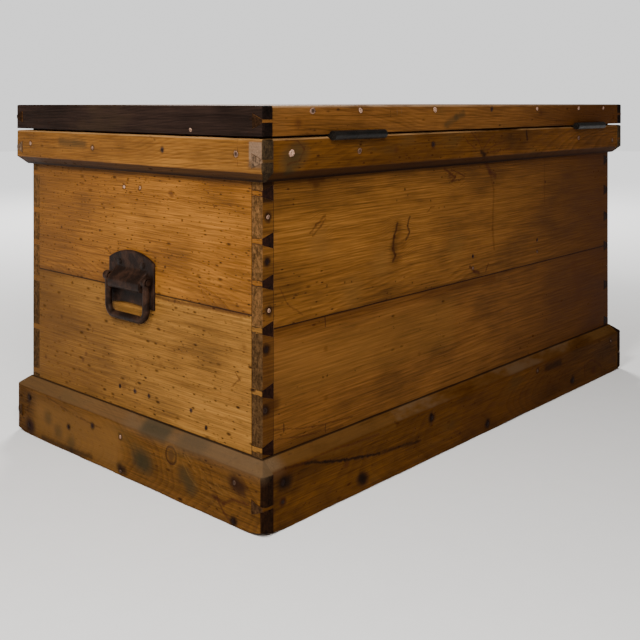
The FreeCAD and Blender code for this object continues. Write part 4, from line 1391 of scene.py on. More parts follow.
@dataclass(frozen=True)
class Course:
    """Four worn boards dovetailed round the chest: the plinth, the skirt or the lid's rim.

    Sizes are in millimetres. The section's corners are (depth behind the outer face, height), going
    round; crown and sole give the height of the moulding's top and foot at a depth.
    """

    name: str
    body: str
    thick: float
    corners: tuple[tuple[float, float], ...]
    soft: tuple[float, ...]
    dents: tuple[float, ...]
    crown: tuple[tuple[float, float], ...]
    sole: tuple[tuple[float, float], ...]
    pin_height: float
    boards: tuple[Board, ...]
    seed: int
    corner_round: float = 3.0
    pin_narrow: float = 3.5
    pin_wide: float = 18.0
    joint_gap: float = 0.22
    wobble: float = 0.45
    foot_lift: float = 0.0
    leaf_seat: float = 2.3
    leaf_half: float = 53.7
    leaf_inner: float = 266.8
    keyhole_height: float = 472.0
    keyhole_radius: float = 3.5

    def cuts(self, run: np.ndarray, seed: int) -> np.ndarray:
        """Cut lengths of the section's corners along a board: the soft ones, waves and a few dents.

        Args:
            run: Places along the board.
            seed: Start of the random draws.

        Returns:
            Cut lengths of shape (stations, corners).
        """
        random = np.random.default_rng(seed)
        soft = np.array(self.soft)
        places = np.stack([run, np.zeros_like(run), np.zeros_like(run)], axis=-1)
        rough = np.stack([waves(places, seed + index, 70.0) for index in range(len(soft))], axis=-1)
        middles = random.uniform(run[0], run[-1], (len(soft), 9, 1))
        widths = random.uniform(6.0, 34.0, (len(soft), 9, 1))
        depths = random.uniform(0.2, 1.0, (len(soft), 9, 1)) ** 2 * np.array(self.dents)[:, None, None]
        dents = (depths * np.exp(-(((run - middles) / widths) ** 2))).sum(axis=1).T
        return np.maximum(soft * (1.0 + 0.3 * rough), 0.25 * soft) + dents

    def limited(
        self, depth: np.ndarray, height: np.ndarray, run: np.ndarray
    ) -> tuple[np.ndarray, np.ndarray]:
        """Carries the moulding round the end of a board and rounds its upright edge.

        Within the corner the height is held between the sole and the crown at the distance from the
        end, and the depth is at least that of a quarter circle.

        Args:
            depth: Depths behind the outer face.
            height: Heights.
            run: Places along the board.

        Returns:
            The new depths and heights.
        """
        inset = FRAME_HALF_WIDTH - np.abs(run)[:, None]
        crown = np.interp(inset, *np.array(self.crown).T)
        sole = np.interp(inset, *np.array(self.sole).T)
        height = np.clip(height, sole, crown)
        short = np.clip(self.corner_round - inset, 0.0, self.corner_round)
        least = self.corner_round - np.sqrt(self.corner_round**2 - short**2)
        return np.maximum(depth, least), height

    def bar(self, board: Board, name: str) -> bpy.types.Object:
        """One board of the course without its joints: the section carried along the board.

        Towards the corner of the course the foot is worn away with the square of the nearness.

        Args:
            board: The board.
            name: Name of the new piece.

        Returns:
            The piece.
        """
        is_end = board.sawn.grain is Axis.WIDTH
        sign = -1.0 if ("front" in board.node or "left" in board.node) else 1.0
        seed = self.seed + board.seed
        reach = FRAME_HALF_WIDTH if is_end else FRAME_HALF_LENGTH - self.thick
        fine = [np.arange(0.0, 5.0, 0.5), np.arange(5.0, 24.0, 1.5), np.arange(24.0, reach, 6.0)]
        stations = np.concatenate(fine)
        run = np.concatenate([stations - reach, [0.0], (reach - stations)[::-1]])
        section = rounded_section(np.array(self.corners), self.cuts(run, seed))
        depth, height = section[..., 0], section[..., 1]
        if is_end:
            depth, height = self.limited(depth, height, run)
        corner = (FRAME_HALF_WIDTH if is_end else FRAME_HALF_LENGTH) - np.abs(run)[:, None]
        near = np.clip(1.0 - np.hypot(depth, corner) / 50.0, 0.0, 1.0)
        height = np.maximum(height, self.foot_lift * near**2)
        along = np.broadcast_to(run[:, None], depth.shape)
        side = (FRAME_HALF_LENGTH if is_end else FRAME_HALF_WIDTH) - depth
        points = np.stack([side, along, height] if is_end else [along, side, height], axis=-1)
        outer = 1.0 - depth / self.thick
        worn = 0.35 * outer + self.wobble * outer * (0.5 + 0.5 * waves(points, seed, 55.0))
        worn += 0.12 * outer * waves(points, seed + 5, 14.0)
        side_axis = 0 if is_end else 1
        points[..., side_axis] -= np.maximum(worn, 0.0)
        points[..., side_axis] *= sign
        return made(name, *closed_tube(points))

    def pin(self, x_sign: float, y_sign: float, gap: float, over: float) -> tuple[np.ndarray, Polygons]:
        """A dovetail pin at one corner, or the tool that cuts its socket.

        It is a prism that stands upright. Half its height grows from the narrow to the wide measure
        with the depth behind the long side.

        Args:
            x_sign: Side of the chest along its length.
            y_sign: Side of the chest along its width.
            gap: Room added all round.
            over: How far it reaches past the outer faces.

        Returns:
            The points and faces.
        """
        blunt = self.corner_round if over == 0.0 else 0.0
        inner = self.thick + 1.5
        outline = np.array([
            [inner, -over], [blunt + 0.01, -over], [0.29 * blunt - over, 0.29 * blunt - over],
            [-over, blunt + 0.01], [-over, self.thick + gap], [inner, self.thick + gap],
        ])
        half = self.pin_narrow / 2 + (self.pin_wide - self.pin_narrow) / 2 * outline[:, 1] / self.thick + gap
        x = x_sign * (FRAME_HALF_LENGTH - outline[:, 0])
        y = y_sign * (FRAME_HALF_WIDTH - outline[:, 1])
        low = np.stack([x, y, self.pin_height - half], axis=-1)
        high = np.stack([x, y, self.pin_height + half], axis=-1)
        return straight_prism(low, high)

    def board(self, board: Board) -> bpy.types.Object:
        """One board with its pins or sockets, dressed.

        Args:
            board: The board.

        Returns:
            The piece.
        """
        piece = self.bar(board, board.node + "_worn")
        signs = (-1.0, 1.0)
        if board.sawn.grain is Axis.WIDTH:
            x_sign = -1.0 if "left" in board.node else 1.0
            tools = [made("socket", *self.pin(x_sign, y_sign, self.joint_gap, 3.0)) for y_sign in signs]
            carved(piece, tools)
        else:
            y_sign = -1.0 if "front" in board.node else 1.0
            tools = [made("pin", *self.pin(x_sign, y_sign, 0.0, 0.0)) for x_sign in signs]
            carved(piece, tools, "UNION")
        cuts = self.cutters(board.node)
        if cuts:
            carved(piece, cuts)
        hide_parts(board.node)
        return dressed(piece, self.body, board.material())

    def cutters(self, node: str) -> list[bpy.types.Object]:
        """Tools for the seats of the hinge leaves and for the keyhole.

        Args:
            node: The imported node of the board.

        Returns:
            The tools, none for most boards.
        """
        seat_levels = {
            "skirt_back": (LIP_GAP_HEIGHT - self.leaf_seat, LIP_GAP_HEIGHT),
            "lid_rim_back": (LIP_GAP_HEIGHT, LIP_GAP_HEIGHT + self.leaf_seat),
        }
        if node in seat_levels:
            low, high = seat_levels[node]
            tools = []
            for centre in HINGE_CENTRES.values():
                xs = centre + self.leaf_half * np.array([-1.0, 1.0, 1.0, -1.0])
                ys = np.array([self.leaf_inner, self.leaf_inner, 290.0, 290.0])
                floor = np.stack([xs, ys, np.full(4, low)], axis=-1)
                tools.append(made("seat", *straight_prism(floor, floor + [0.0, 0.0, high - low])))
            return tools
        if node == "skirt_front":
            turn = np.linspace(-0.35 * np.pi, 1.35 * np.pi, 25)
            eye = self.keyhole_radius * np.stack([np.cos(turn), np.sin(turn)], axis=-1)
            slot = np.array([[-1.5, -11.0], [1.5, -11.0]])
            outline = np.concatenate([eye, slot]) + [0.0, self.keyhole_height]
            front = np.insert(outline, 1, -290.0, axis=1)
            return [made("keyway", *straight_prism(front, front + [0.0, 30.0, 0.0]))]
        return []

    def build(self) -> None:
        """Builds and dresses the four boards."""
        for board in self.boards:
            self.board(board)


BEVEL = (73.5, 90.0)
FRAME_PARTS = ("front", "back", "right_end", "left_end")


def frame_boards(
    prefix: str, side: Pine, end: Pine, seed: int, details: dict[str, dict]
) -> tuple[Board, ...]:
    """The four boards of a course with their sawing and marks.

    Args:
        prefix: First part of the nodes' names.
        side: Pine of the front and the back.
        end: Pine of the ends.
        seed: Seed of the first board.
        details: For each part its log (heart, depth and lean) and other fields of the board.

    Returns:
        The boards.
    """
    boards = []
    for index, part in enumerate(FRAME_PARTS):
        is_end = part.endswith("end")
        extra = dict(details.get(part, {}))
        grain = Axis.WIDTH if is_end else Axis.LENGTH
        sawn = Sawn(grain, Axis.HEIGHT, *extra.pop("log", (900.0, 60.0, 0.05)))
        boards.append(Board(f"{prefix}_{part}", end if is_end else side, sawn, seed + index, **extra))
    return tuple(boards)


def plinth_end() -> dict:
    """Log, marks, knots and tones of the plinth's right-hand end.

    Returns:
        The details by their names.
    """
    line, dots = FRAME_END.line, FRAME_END.dots
    halo = (0.016, 0.006, 0.003)
    ring = on_end(154.3, 58, FRAME_PROUD)
    return {
        "log": (20.0, 50.0, 0.25),
        "marks": nail_halos(PLINTH_END_NAILS, 8)
        + dots(26, 0.75, GREY_GREEN, (210.7, 33.4), (226.9, 36))
        + dots(20, 0.65, GREY_GREEN, (128.1, 39.9), (115, 28))
        + dots(17, 0.85, halo, (31, 55.5), (20, 52))
        + dots(17, 0.85, halo, (511, 16), (504, 14))
        + dots(11, 0.8, BLACK_STAIN_AND_SHADE, (512, 58), (270, 12), (260, 10), (32.7, 6.8))
        + dots(18, 0.45, GREY_GREEN, (427, 24), (392, 16), (455, 40))
        + line(7, 0.55, BLACK_STAIN_AND_SHADE, (470, 5), (392, 5), (340, 8))
        + line(4, 0.6, RED_KNOT, (71, 28.4), (51, 23.5), (35.5, 33.2), (6, 36))
        + line(3, 0.6, RED_KNOT, (63, 28), (51, 13), (39, 6))
        + (
            Mark(ring, 9, 0.6, None, (0.046, 0.022, 0.008), 0.5),
            Mark(ring, 13.5, 0.85, None, (0.018, 0.007, 0.003), 0.86, 0.9),
            Mark(on_end(156, 57, FRAME_PROUD), 18, 0.4, None, PALE_LINE, 0.9, 0.94),
        )
        + line(2.2, 0.7, PALE_LINE, (127, 64), (108, 50.5), (79, 39.4), (48, 34))
        + line(2.2, 0.6, PALE_LINE, (120, 64), (91.4, 53), (59, 42), (30, 37))
        + line(2, 0.5, PALE_LINE, (132, 56), (118, 40), (92, 24), (62, 18))
        + line(2.2, 0.5, RED_KNOT, (460.7, 72), (389.4, 59.9), (315.4, 55.8)),
        "knots": (Knot(ring, 60, 0.9),),
        "tones": (
            Tone((0.13, 0.061, 0.015), 0.7, width=(-230, 0), height=(6, 66), soft=18),
            Tone((0.1, 0.058, 0.026), 0.55, height=BEVEL, over_end=True),
            Tone(GREY_WORN, 0.62, None, (0, 300), BEVEL, 14, 0.34, 0.5, 0.2, True),
            Tone((0.032, 0.026, 0.015), 0.8, None, (38, 98), (71, 90), 9, 0.1, 0.36, 0.2, True),
            Tone((0.034, 0.027, 0.016), 0.5, width=(118, 172), height=(72, 90), soft=12, over_end=True),
        ),
    }


def plinth_back() -> dict:
    """Log, marks, knots and tones of the plinth's back.

    Returns:
        The details by their names.
    """
    line, dots = FRAME_BACK.line, FRAME_BACK.dots
    return {
        "log": (30.0, 60.0, 0.15),
        "marks": nail_halos(PLINTH_BACK_NAILS, 8)
        + dots(15, 0.8, BLACK_STAIN_AND_SHADE, (16.6, 58.5), (24, 57))
        + dots(5, 0.9, BLACK_STAIN_AND_SHADE, (482.2, 13.9), (758.9, 20.6), (327.9, 65))
        + dots(14, 0.9, BLACK_STAIN_AND_SHADE, (166, 19), (173, 16))
        + dots(12, 0.9, BLACK_STAIN_AND_SHADE, (329, 60.5), (481, 13), (767, 20))
        + dots(9, 0.5, RED_KNOT, (137, 47), (16, 35))
        + dots(3, 0.5, BLACK_STAIN_AND_SHADE, (402.7, 18.9), (409.5, 5.6), (379.3, 17.4))
        + line(8, 0.35, AMBER_STAIN, (0, 70), (55.5, 71.9))
        + line(7, 0.5, (0.075, 0.032, 0.006), (45, 78), (120, 69), (240, 70))
        + line(3.2, 0.9, BLACK_STAIN_AND_SHADE, (56.6, 71.1), (94.4, 62), (131, 54), (169.5, 48), (206, 42))
        + line(4, 0.65, BLACK_STAIN_AND_SHADE, (206, 42), (250, 39), (300, 34))
        + line(2.6, 0.6, RED_KNOT, (56.6, 72), (91.6, 74), (140, 71.5), (205, 68.5))
        + line(3.4, 0.75, (0.016, 0.005, 0.002), (0, 77.6), (23, 74.8), (56.6, 71.5))
        + line(3.5, 0.55, RED_KNOT, (817.2, 14.7), (812.2, 36.6), (842.4, 42), (878.5, 25.1), (887, 6.7))
        + dots(13, 0.6, RED_KNOT, (851, 21))
        + line(10, 0.6, BLACK_STAIN_AND_SHADE, (720, 62), (670, 62)),
        "knots": (Knot(on_back(851, 21, FRAME_PROUD), 50, 0.9),),
        "tones": (
            Tone((0.08, 0.038, 0.0105), 0.6, height=(74.5, 90), patch_from=0.3, patch_to=0.5),
            Tone(GREY_WORN, 0.7, length=(-372, 225), height=(74.5, 90), patch_from=0.42, patch_to=0.56),
            Tone(GREY_WORN, 0.8, length=(455, 500), height=(73, 90), soft=12, speckle=0.4),
        ),
    }


def plinth() -> Course:
    """The plinth with its bevelled top.

    Returns:
        The course.
    """
    end, back = plinth_end(), plinth_back()
    foot_and_top_with_painted_light = (
        Tone(JOINT_DIRT_AND_SHADE, 0.5, height=(72.5, 75.5), soft=1.6, patch_from=0.35, patch_to=0.5),
        # Painted shade along the plinth's top, where it meets the carcase.
        Tone(BLACK_STAIN_AND_SHADE, 0.8, height=(86.4, 90), soft=0.5, over_end=True),
    )
    end["tones"] += foot_and_top_with_painted_light
    # The middle of the plinth's back darker as well.
    back["tones"] += foot_and_top_with_painted_light + (Tone(DARK_BROWN_AND_FALLOFF_SHADE, 0.3, length=(-350, 150), soft=160),)
    return Course(
        "plinth", "chest", 19.0,
        ((0.0, 0.0), (0.0, 73.5), (17.0, 87.0), (19.0, 87.0), (19.0, 0.0)),
        (2.6, 2.5, 0.9, 0.4, 0.5),
        (1.2, 1.8, 0.3, 0.0, 0.0),
        ((0.0, 73.5), (17.0, 87.0), (19.0, 87.0)),
        ((0.0, 3.0), (0.9, 0.9), (3.0, 0.0)),
        34.8,
        frame_boards("plinth", BACK_PLINTH_PINE, PLINTH_PINE, 41, {"right_end": end, "back": back}),
        seed=400, corner_round=8.0, wobble=0.7, foot_lift=7.5,
    )


def skirt_end() -> dict:
    """Log, marks and tones of the skirt's right-hand end.

    Returns:
        The details by their names.
    """
    line = FRAME_END.line
    return {
        "log": (560.0, 70.0, 0.12),
        "marks": nail_halos(SKIRT_END_NAILS, 7)
        + line(12, 0.5, GREY_GREEN, (359, 464), (420, 466.5))
        + line(2, 0.5, BLACK_STAIN_AND_SHADE, (201.2, 480.4), (188.6, 474.9))
        + line(1.6, 0.5, RED_KNOT, (25, 447), (25, 478)),
        "tones": (
            Tone((0.125, 0.08, 0.052), 0.8, width=(260.5, 290), height=(447, 478), speckle=0.8),
            Tone((0.06, 0.03, 0.012), 0.7, width=(259, 290), height=(444, 455), soft=3, speckle=0.6),
        ),
    }


def skirt_back() -> dict:
    """Log, marks, knots and tones of the skirt's back.

    Returns:
        The details by their names.
    """
    line, dots = FRAME_BACK.line, FRAME_BACK.dots
    fan = (
        ((413, 477), (425.3, 463.4), (446.3, 453.4)),
        ((433.6, 479.4), (454.8, 465.2), (464, 453)),
        ((502.2, 473.8), (480, 461.7), (469, 451.8)),
        ((532.6, 462.8), (502.2, 457), (480, 449.8)),
        ((552, 450), (513.5, 447), (487.4, 446.3)),
    )
    return {
        "log": (440.0, 60.0, 0.1),
        "marks": dots(24, 0.55, GREY_GREEN, (46.8, 463.8), (30, 456))
        + dots(12, 0.45, GREY_GREEN, (28, 440))
        + dots(9, 0.4, RED_KNOT, (334.2, 461.5), (244.3, 459.3))
        + line(2.2, 0.5, RED_KNOT, (16.4, 480), (44.2, 477.7), (55.5, 466.4), (46.5, 452.7), (24.2, 449.1))
        + tuple(mark for path in fan for mark in line(2.2, 0.55, RED_KNOT, *path))
        + line(7, 0.85, BLACK_STAIN_AND_SHADE, (464, 447), (473, 442))
        + line(4, 0.85, BLACK_STAIN_AND_SHADE, (601.8, 477.5), (605, 462.7))
        + nail_halos(SKIRT_BACK_NAILS, 7),
        "knots": (
            Knot(on_back(470, 450, FRAME_PROUD), 70, 0.92),
            Knot(on_back(36, 462, FRAME_PROUD), 30),
        ),
        # Painted shade towards the far end of the skirt's back.
        "tones": (Tone(DARK_BROWN_AND_FALLOFF_SHADE, 0.35, length=(-700, -240), soft=200),),
    }


def skirt() -> Course:
    """The upper skirt with its rounded top and bevelled foot.

    Returns:
        The course.
    """
    end, back = skirt_end(), skirt_back()
    foot_and_top_with_painted_light = (
        # Painted shade on the skirt's downward-facing foot bevel, darkest at its lower edge.
        Tone((0.02, 0.008, 0.0035), 0.8, height=(425, 439.5)),
        Tone(BLACK_STAIN_AND_SHADE, 0.85, height=(425, 431.5), soft=2.4),
        # Patchy painted highlight along the skirt's rounded top.
        Tone((0.3, 0.17, 0.07), 0.5, height=(479.3, 482), soft=0.4, patch_from=0.35, patch_to=0.5),
    )
    end["tones"] = foot_and_top_with_painted_light + end["tones"]
    back["tones"] = (Tone(GREY_GREEN, 0.5, length=(475, 500)),) + foot_and_top_with_painted_light + back["tones"]
    return Course(
        "skirt", "chest", 19.0,
        ((13.0, 427.8), (0.0, 440.3), (0.0, 481.5), (19.0, 481.5), (19.0, 427.8)),
        (0.8, 1.6, 4.0, 0.4, 0.4),
        (0.3, 1.2, 1.5, 0.0, 0.0),
        ((0.0, 477.5), (1.2, 480.3), (4.0, 481.5), (19.0, 481.5)),
        ((0.0, 440.3), (13.0, 427.8), (19.0, 427.8)),
        454.65,
        frame_boards("skirt", BACK_SKIRT_PINE, SKIRT_PINE, 51, {"right_end": end, "back": back}),
        seed=500, corner_round=3.0,
    )


def lid_rim() -> Course:
    """The rim round the lid, blackened at its ends.

    Returns:
        The course.
    """
    line, dots = FRAME_BACK.line, FRAME_BACK.dots
    details = {
        "right_end": {"log": (620.0, 60.0, 0.1), "marks": nail_halos(RIM_END_NAILS, 4)},
        "back": {
            "log": (560.0, 50.0, 0.08),
            "marks": nail_halos(RIM_BACK_NAILS)
            + line(1.8, 0.8, BLACK_STAIN_AND_SHADE, (231.2, 518.5), (231.2, 506))
            + line(1.6, 0.6, GREY_WORN, (246, 518.5), (246, 507))
            + line(1.6, 0.6, GREY_WORN, (256.9, 518.5), (256.9, 507))
            + line(9, 0.5, GREY_GREEN, (366.2, 492.2), (392.6, 503), (413, 508.6))
            + dots(10, 0.45, RED_KNOT, (44.2, 499.4), (650.6, 508.7)),
            "tones": (
                # Patchy painted highlight along the rim's rounded top edge.
                Tone((0.25, 0.16, 0.09), 0.6, height=(519.5, 523), soft=0.6, patch_from=0.3, patch_to=0.5),
                # Painted shade towards the far end of the rim's back.
                Tone(DARK_BROWN_AND_FALLOFF_SHADE, 0.75, length=(-800, -160), soft=260),
            ),
        },
    }
    return Course(
        "lid_rim", "lid", 17.5,
        ((0.0, 484.2), (0.0, 522.0), (17.5, 522.0), (17.5, 484.2)),
        (1.0, 2.6, 0.4, 0.4),
        (0.6, 1.6, 0.0, 0.0),
        ((0.0, 519.0), (0.9, 521.1), (3.0, 522.0), (19.0, 522.0)),
        ((0.0, 485.0), (1.0, 484.2), (19.0, 484.2)),
        503.1,
        frame_boards("lid_rim", RIM_PINE, DARK_PINE, 61, details),
        seed=600, corner_round=2.0,
    )


@dataclass(frozen=True)
class Lid:
    """The three tongued and grooved boards inside the rim."""

    body: str = "lid"

    def build(self) -> None:
        """Builds and dresses the boards."""
        hearts = {"front": -180.0, "middle": 20.0, "back": 170.0}
        for index, (part, heart) in enumerate(hearts.items()):
            sawn = Sawn(Axis.LENGTH, Axis.WIDTH, heart, 40.0, 0.12)
            Board(f"lid_board_{part}", LID_PINE, sawn, 71 + index, edge=0.7).build(self.body)


# Fittings


def turned(profile: np.ndarray, sides: int) -> np.ndarray:
    """Rings of a solid of revolution about the third axis, from a profile of (radius, height).

    Args:
        profile: Its points.
        sides: Points round each ring.

    Returns:
        The rings.
    """
    angle = np.linspace(0.0, 2.0 * np.pi, sides, endpoint=False)
    radius = profile[:, 0][:, None]
    height = np.broadcast_to(profile[:, 1][:, None], (len(profile), sides))
    return np.stack([radius * np.cos(angle), radius * np.sin(angle), height], axis=-1)


@dataclass(frozen=True)
class Handle:
    """A drop handle: back plate with its hood, pivot pin and forged bail. Sizes in millimetres.

    Those named out are distances from the chest's middle, and each row of screw_bores says how far
    aside of the pivot and how far above it a pair of screws sits, and the radius of its bores.
    """

    name: str
    sign: float
    pivot_height: float = 277.0
    bar_out: float = 484.4
    pivot_out: float = 485.3
    bar_radius: float = 5.5
    arm: float = 43.9
    foot: float = 222.9
    bend: float = 14.5
    eye_radius: float = 6.8
    eye_inner: float = 39.2
    eye_outer: float = 49.3
    bore: float = 4.3
    plate_out: float = 478.0
    plate_half: float = 52.5
    plate_round: float = 1.2
    dome: float = 105.44
    dome_drop: float = 91.44
    arch: float = 304.1
    arch_half: float = 46.0
    hood_half: float = 37.5
    hood_below: float = 16.0
    hood_tall: float = 32.0
    hood_round: float = 7.0
    hood_lift: float = 7.2
    pin_bore: float = 3.1
    screw_bores: tuple[Point, ...] = ((27.0, 20.0, 1.8), (44.0, -27.0, 4.4))

    def bail_path(self) -> np.ndarray:
        """Points (across, height) down one arm, round the bends and up the other arm.

        Returns:
            The points, in millimetres.
        """
        low = self.foot
        arm_run = np.linspace(self.pivot_height, low + self.bend, 26)
        angle = np.linspace(0.0, 0.5 * np.pi, 14)[1:]
        bend_y = self.arm - self.bend + self.bend * np.cos(angle)
        bend_z = low + self.bend - self.bend * np.sin(angle)
        grip_y = np.linspace(self.arm - self.bend, 0.0, 16)[1:]
        half_y = np.concatenate([np.full(26, self.arm), bend_y, grip_y])
        half_z = np.concatenate([arm_run, bend_z, np.full(15, low)])
        across = np.concatenate([half_y, -half_y[::-1][1:]])
        height = np.concatenate([half_z, half_z[::-1][1:]])
        return np.stack([across, height], axis=-1)

    def bail(self) -> bpy.types.Object:
        """The bail as one forging.

        A circle is carried along the path, its radius swelling a little in the grip and waving as a
        hammer leaves it. Two bored eyes close its ends, and a voxel mesh makes one skin of all.

        Returns:
            The bail, dressed.
        """
        path = self.bail_path()
        slope = np.gradient(path, axis=0)
        slope /= np.linalg.norm(slope, axis=1, keepdims=True)
        angle = np.linspace(0.0, 2.0 * np.pi, 24, endpoint=False)
        places = np.stack([path[:, 0], path[:, 1], np.zeros(len(path))], axis=-1)
        swell = 0.35 * np.exp(-((path[:, 0] / 26.0) ** 2)) * (path[:, 1] < self.foot + 2.0)
        radius = (self.bar_radius - 0.35 + swell + 0.12 * waves(places, 81, 22.0))[:, None]
        out = self.bar_out + radius * np.cos(angle)
        inward = radius * np.sin(angle)
        across = path[:, 0][:, None] - inward * slope[:, 1][:, None]
        height = path[:, 1][:, None] + inward * slope[:, 0][:, None]
        rings = np.stack([self.sign * out, across, height], axis=-1)
        parts = [closed_tube(rings)]
        wall = self.eye_radius
        for side in (-1.0, 1.0):
            low, high = self.eye_inner, self.eye_outer
            profile = np.array([
                [self.bore, low + 0.6], [self.bore + 0.6, low], [wall - 1.2, low], [wall - 0.3, low + 0.5],
                [wall, low + 1.6], [wall, high - 1.6], [wall - 0.3, high - 0.5], [wall - 1.2, high],
                [self.bore + 0.6, high], [self.bore, high - 0.6],
            ])
            eye = turned(profile, 36)
            out = self.sign * (self.pivot_out + eye[..., 0])
            points = np.stack([out, side * eye[..., 2], self.pivot_height + eye[..., 1]], axis=-1)
            loop = np.concatenate([points, points[:1]])
            parts.append((points.reshape(-1, 3), self.torus_faces(*loop.shape[:2])))
        piece = made(self.name + "_bail_forged", *joined(parts))
        skin = piece.modifiers.new("skin", "REMESH")
        skin.mode = "VOXEL"
        skin.voxel_size = 0.7 * MM
        relax = piece.modifiers.new("relax", "SMOOTH")
        relax.factor = 0.5
        relax.iterations = 6
        settled(piece)
        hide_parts(self.name + "_bail")
        iron = HANDLE_IRON.material(self.name + "_bail_iron")
        return dressed(piece, self.name + "_bail", iron)

    def casting(self) -> bpy.types.Object:
        """The back plate and its hood as one soft casting.

        The front is a height over the wall for each place across and up. The plate gives its
        thickness. Over it the hood rises from its foot in a quarter circle, stands and sinks in a
        half cosine towards the screws, and ends sharply at either side. The outline, a dome above and
        a flat arch below, is rounded by a quarter circle.

        Returns:
            The casting, bored for the pin and the screws.
        """
        pivot = self.pivot_height
        edge = np.array([0.0, 0.1, 0.35, 0.75, 1.2])
        ends = np.array([36.0, 36.6, 37.1, 37.4, 37.6, 38.2])
        half = [np.arange(0.0, 35.5, 1.5), ends, np.arange(39.5, 51.0, 1.3), self.plate_half - edge[::-1]]
        half = np.concatenate(half)
        across = np.concatenate([-half[:0:-1], half])
        step = np.concatenate([
            edge / 20.0, np.linspace(0.12, 1.0, 9), 1.0 + np.array([0.004, 0.01, 0.03, 0.06, 0.1, 0.15, 0.2]),
            np.linspace(1.26, 2.0, 22), np.linspace(2.1, 2.9, 9), 3.0 - edge[::-1] / 17.0,
        ])[:, None]
        arch_foot = np.sqrt(self.arch**2 - self.arch_half**2)
        foot = pivot - 39.0 + np.maximum(np.sqrt(self.arch**2 - across**2) - arch_foot, 0.0)
        top = pivot + 25.0 + np.sqrt(self.dome**2 - across**2) - self.dome_drop
        hood_foot = pivot - self.hood_below
        hood_top = hood_foot + self.hood_tall
        low = foot + (hood_foot - foot) * step
        middle = hood_foot + self.hood_tall * (step - 1.0)
        high = hood_top + (top - hood_top) * (step - 2.0)
        height = np.where(step <= 1.0, low, np.where(step <= 2.0, middle, high))
        soft = self.plate_round
        border = np.minimum(self.plate_half - np.abs(across), np.minimum(height - foot, top - height))
        border = np.clip(border, 0.0, soft)
        front = self.plate_out - soft + np.sqrt(soft**2 - (soft - border) ** 2)
        rise = np.clip(height - hood_foot, 0.0, self.hood_round)
        swell = self.hood_lift + np.sqrt(self.hood_round**2 - (self.hood_round - rise) ** 2)
        swell = swell * (0.5 + 0.5 * np.cos(np.pi * np.clip((height - pivot + 4.0) / 19.0, 0.0, 1.0)))
        side = np.clip((self.hood_half - np.abs(across)) / 1.6, 0.0, 1.0)
        swell = swell * (height > hood_foot + 0.05) * np.sqrt(1.0 - (1.0 - side) ** 2)
        front = front + swell
        flat = np.broadcast_to(across, front.shape)
        face = np.stack([front, flat, height], axis=-1)
        wall = face.copy()
        wall[..., 0] = BODY_HALF_LENGTH
        rows, columns, _ = face.shape
        numbers = np.arange(rows * columns).reshape(rows, columns)
        quads = np.stack([numbers[:-1, :-1], numbers[:-1, 1:], numbers[1:, 1:], numbers[1:, :-1]], axis=-1)
        quads = quads.reshape(-1, 4)
        loop = np.concatenate([numbers[0, :-1], numbers[:-1, -1], numbers[-1, :0:-1], numbers[:0:-1, 0]])
        after = np.roll(loop, -1)
        count = rows * columns
        border_faces = np.stack([loop, after, after + count, loop + count], axis=-1)
        faces = quads.tolist() + (quads[:, ::-1] + count).tolist() + border_faces.tolist()
        points = np.concatenate([face.reshape(-1, 3), wall.reshape(-1, 3)])
        points[:, 0] *= self.sign
        piece = made(self.name + "_plate_cast", points, faces)
        tools = [self.bore_tool(self.pin_bore, (self.pivot_out, 0.0, pivot), Axis.WIDTH)]
        for sign in (-1.0, 1.0):
            for aside, up, radius in self.screw_bores:
                tools.append(self.bore_tool(radius, (476.0, sign * aside, pivot + up), Axis.LENGTH))
        carved(piece, tools)
        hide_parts(self.name + "_handle_plate")
        return piece

    def bore_tool(self, radius: float, middle: Point, axis: Axis) -> bpy.types.Object:
        """A long round tool for a bore through the casting.

        Args:
            radius: Radius of the bore.
            middle: A point on its axis.
            axis: The way it runs.

        Returns:
            The tool.
        """
        rings = turned(np.array([[radius, -60.0], [radius, 60.0]]), 32)
        if axis is Axis.LENGTH:
            rings = rings[..., [2, 0, 1]] * [0.2, 1.0, 1.0]
        else:
            rings = rings[..., [0, 2, 1]]
        points, faces = closed_tube(rings + np.array(middle))
        points[:, 0] *= self.sign
        return made("bore", points, faces)

    @staticmethod
    def torus_faces(rings: int, around: int) -> Polygons:
        """Quads of a profile that closes on itself."""
        count = (rings - 1) * around
        return [[index % count for index in face] for face in ring_faces(rings, around)]

    def build(self) -> None:
        """Builds and dresses the plate, the pin and the bail."""
        dressed(self.casting(), "chest", HANDLE_IRON.material(self.name + "_plate_iron"))
        pin = softened(self.name + "_handle_pin", self.name + "_pivot", 0.5, 3)
        dressed(pin, "chest", HANDLE_IRON.material(self.name + "_pivot_iron"))
        self.bail()


@dataclass(frozen=True)
class Metalwork:
    """Small iron pieces that share one finish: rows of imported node, new name, broken edge and body."""

    iron: Iron
    material_name: str
    rows: tuple[tuple[str, str, float, str], ...]

    def build(self) -> None:
        """Builds and dresses the pieces."""
        material = self.iron.material(self.material_name)
        for node, name, edge, body in self.rows:
            dressed(softened(node, name, edge), body, material)


def hinge(name: str) -> Metalwork:
    """A butt hinge: the leaf on the chest, the leaf on the lid and the pin.

    Args:
        name: Which hinge, right or left.

    Returns:
        Its pieces.
    """
    return Metalwork(HINGE_IRON, name + "_hinge_iron", (
        (name + "_hinge_chest_leaf", name + "_lower_leaf", 0.5, "chest"),
        (name + "_hinge_lid_leaf", name + "_upper_leaf", 0.5, "lid"),
        (name + "_hinge_pin", name + "_hinge_rod", 0.4, "chest"),
    ))


def lock() -> Metalwork:
    """The chest lock and its strike.

    Returns:
        Its pieces.
    """
    return Metalwork(LOCK_STEEL, "lock_metal", (
        ("lock_case", "lock_box", 0.4, "chest"),
        ("lock_strike", "lock_plate", 0.3, "lid"),
    ))


def screws() -> Metalwork:
    """The slotted screws of the hinges and the handles.

    Returns:
        Their pieces.
    """
    return Metalwork(SCREW_STEEL, "screw_metal", (
        ("chest_screws", "chest_slotted_screws", 0.15, "chest"),
        ("lid_screws", "lid_slotted_screws", 0.15, "lid"),
    ))


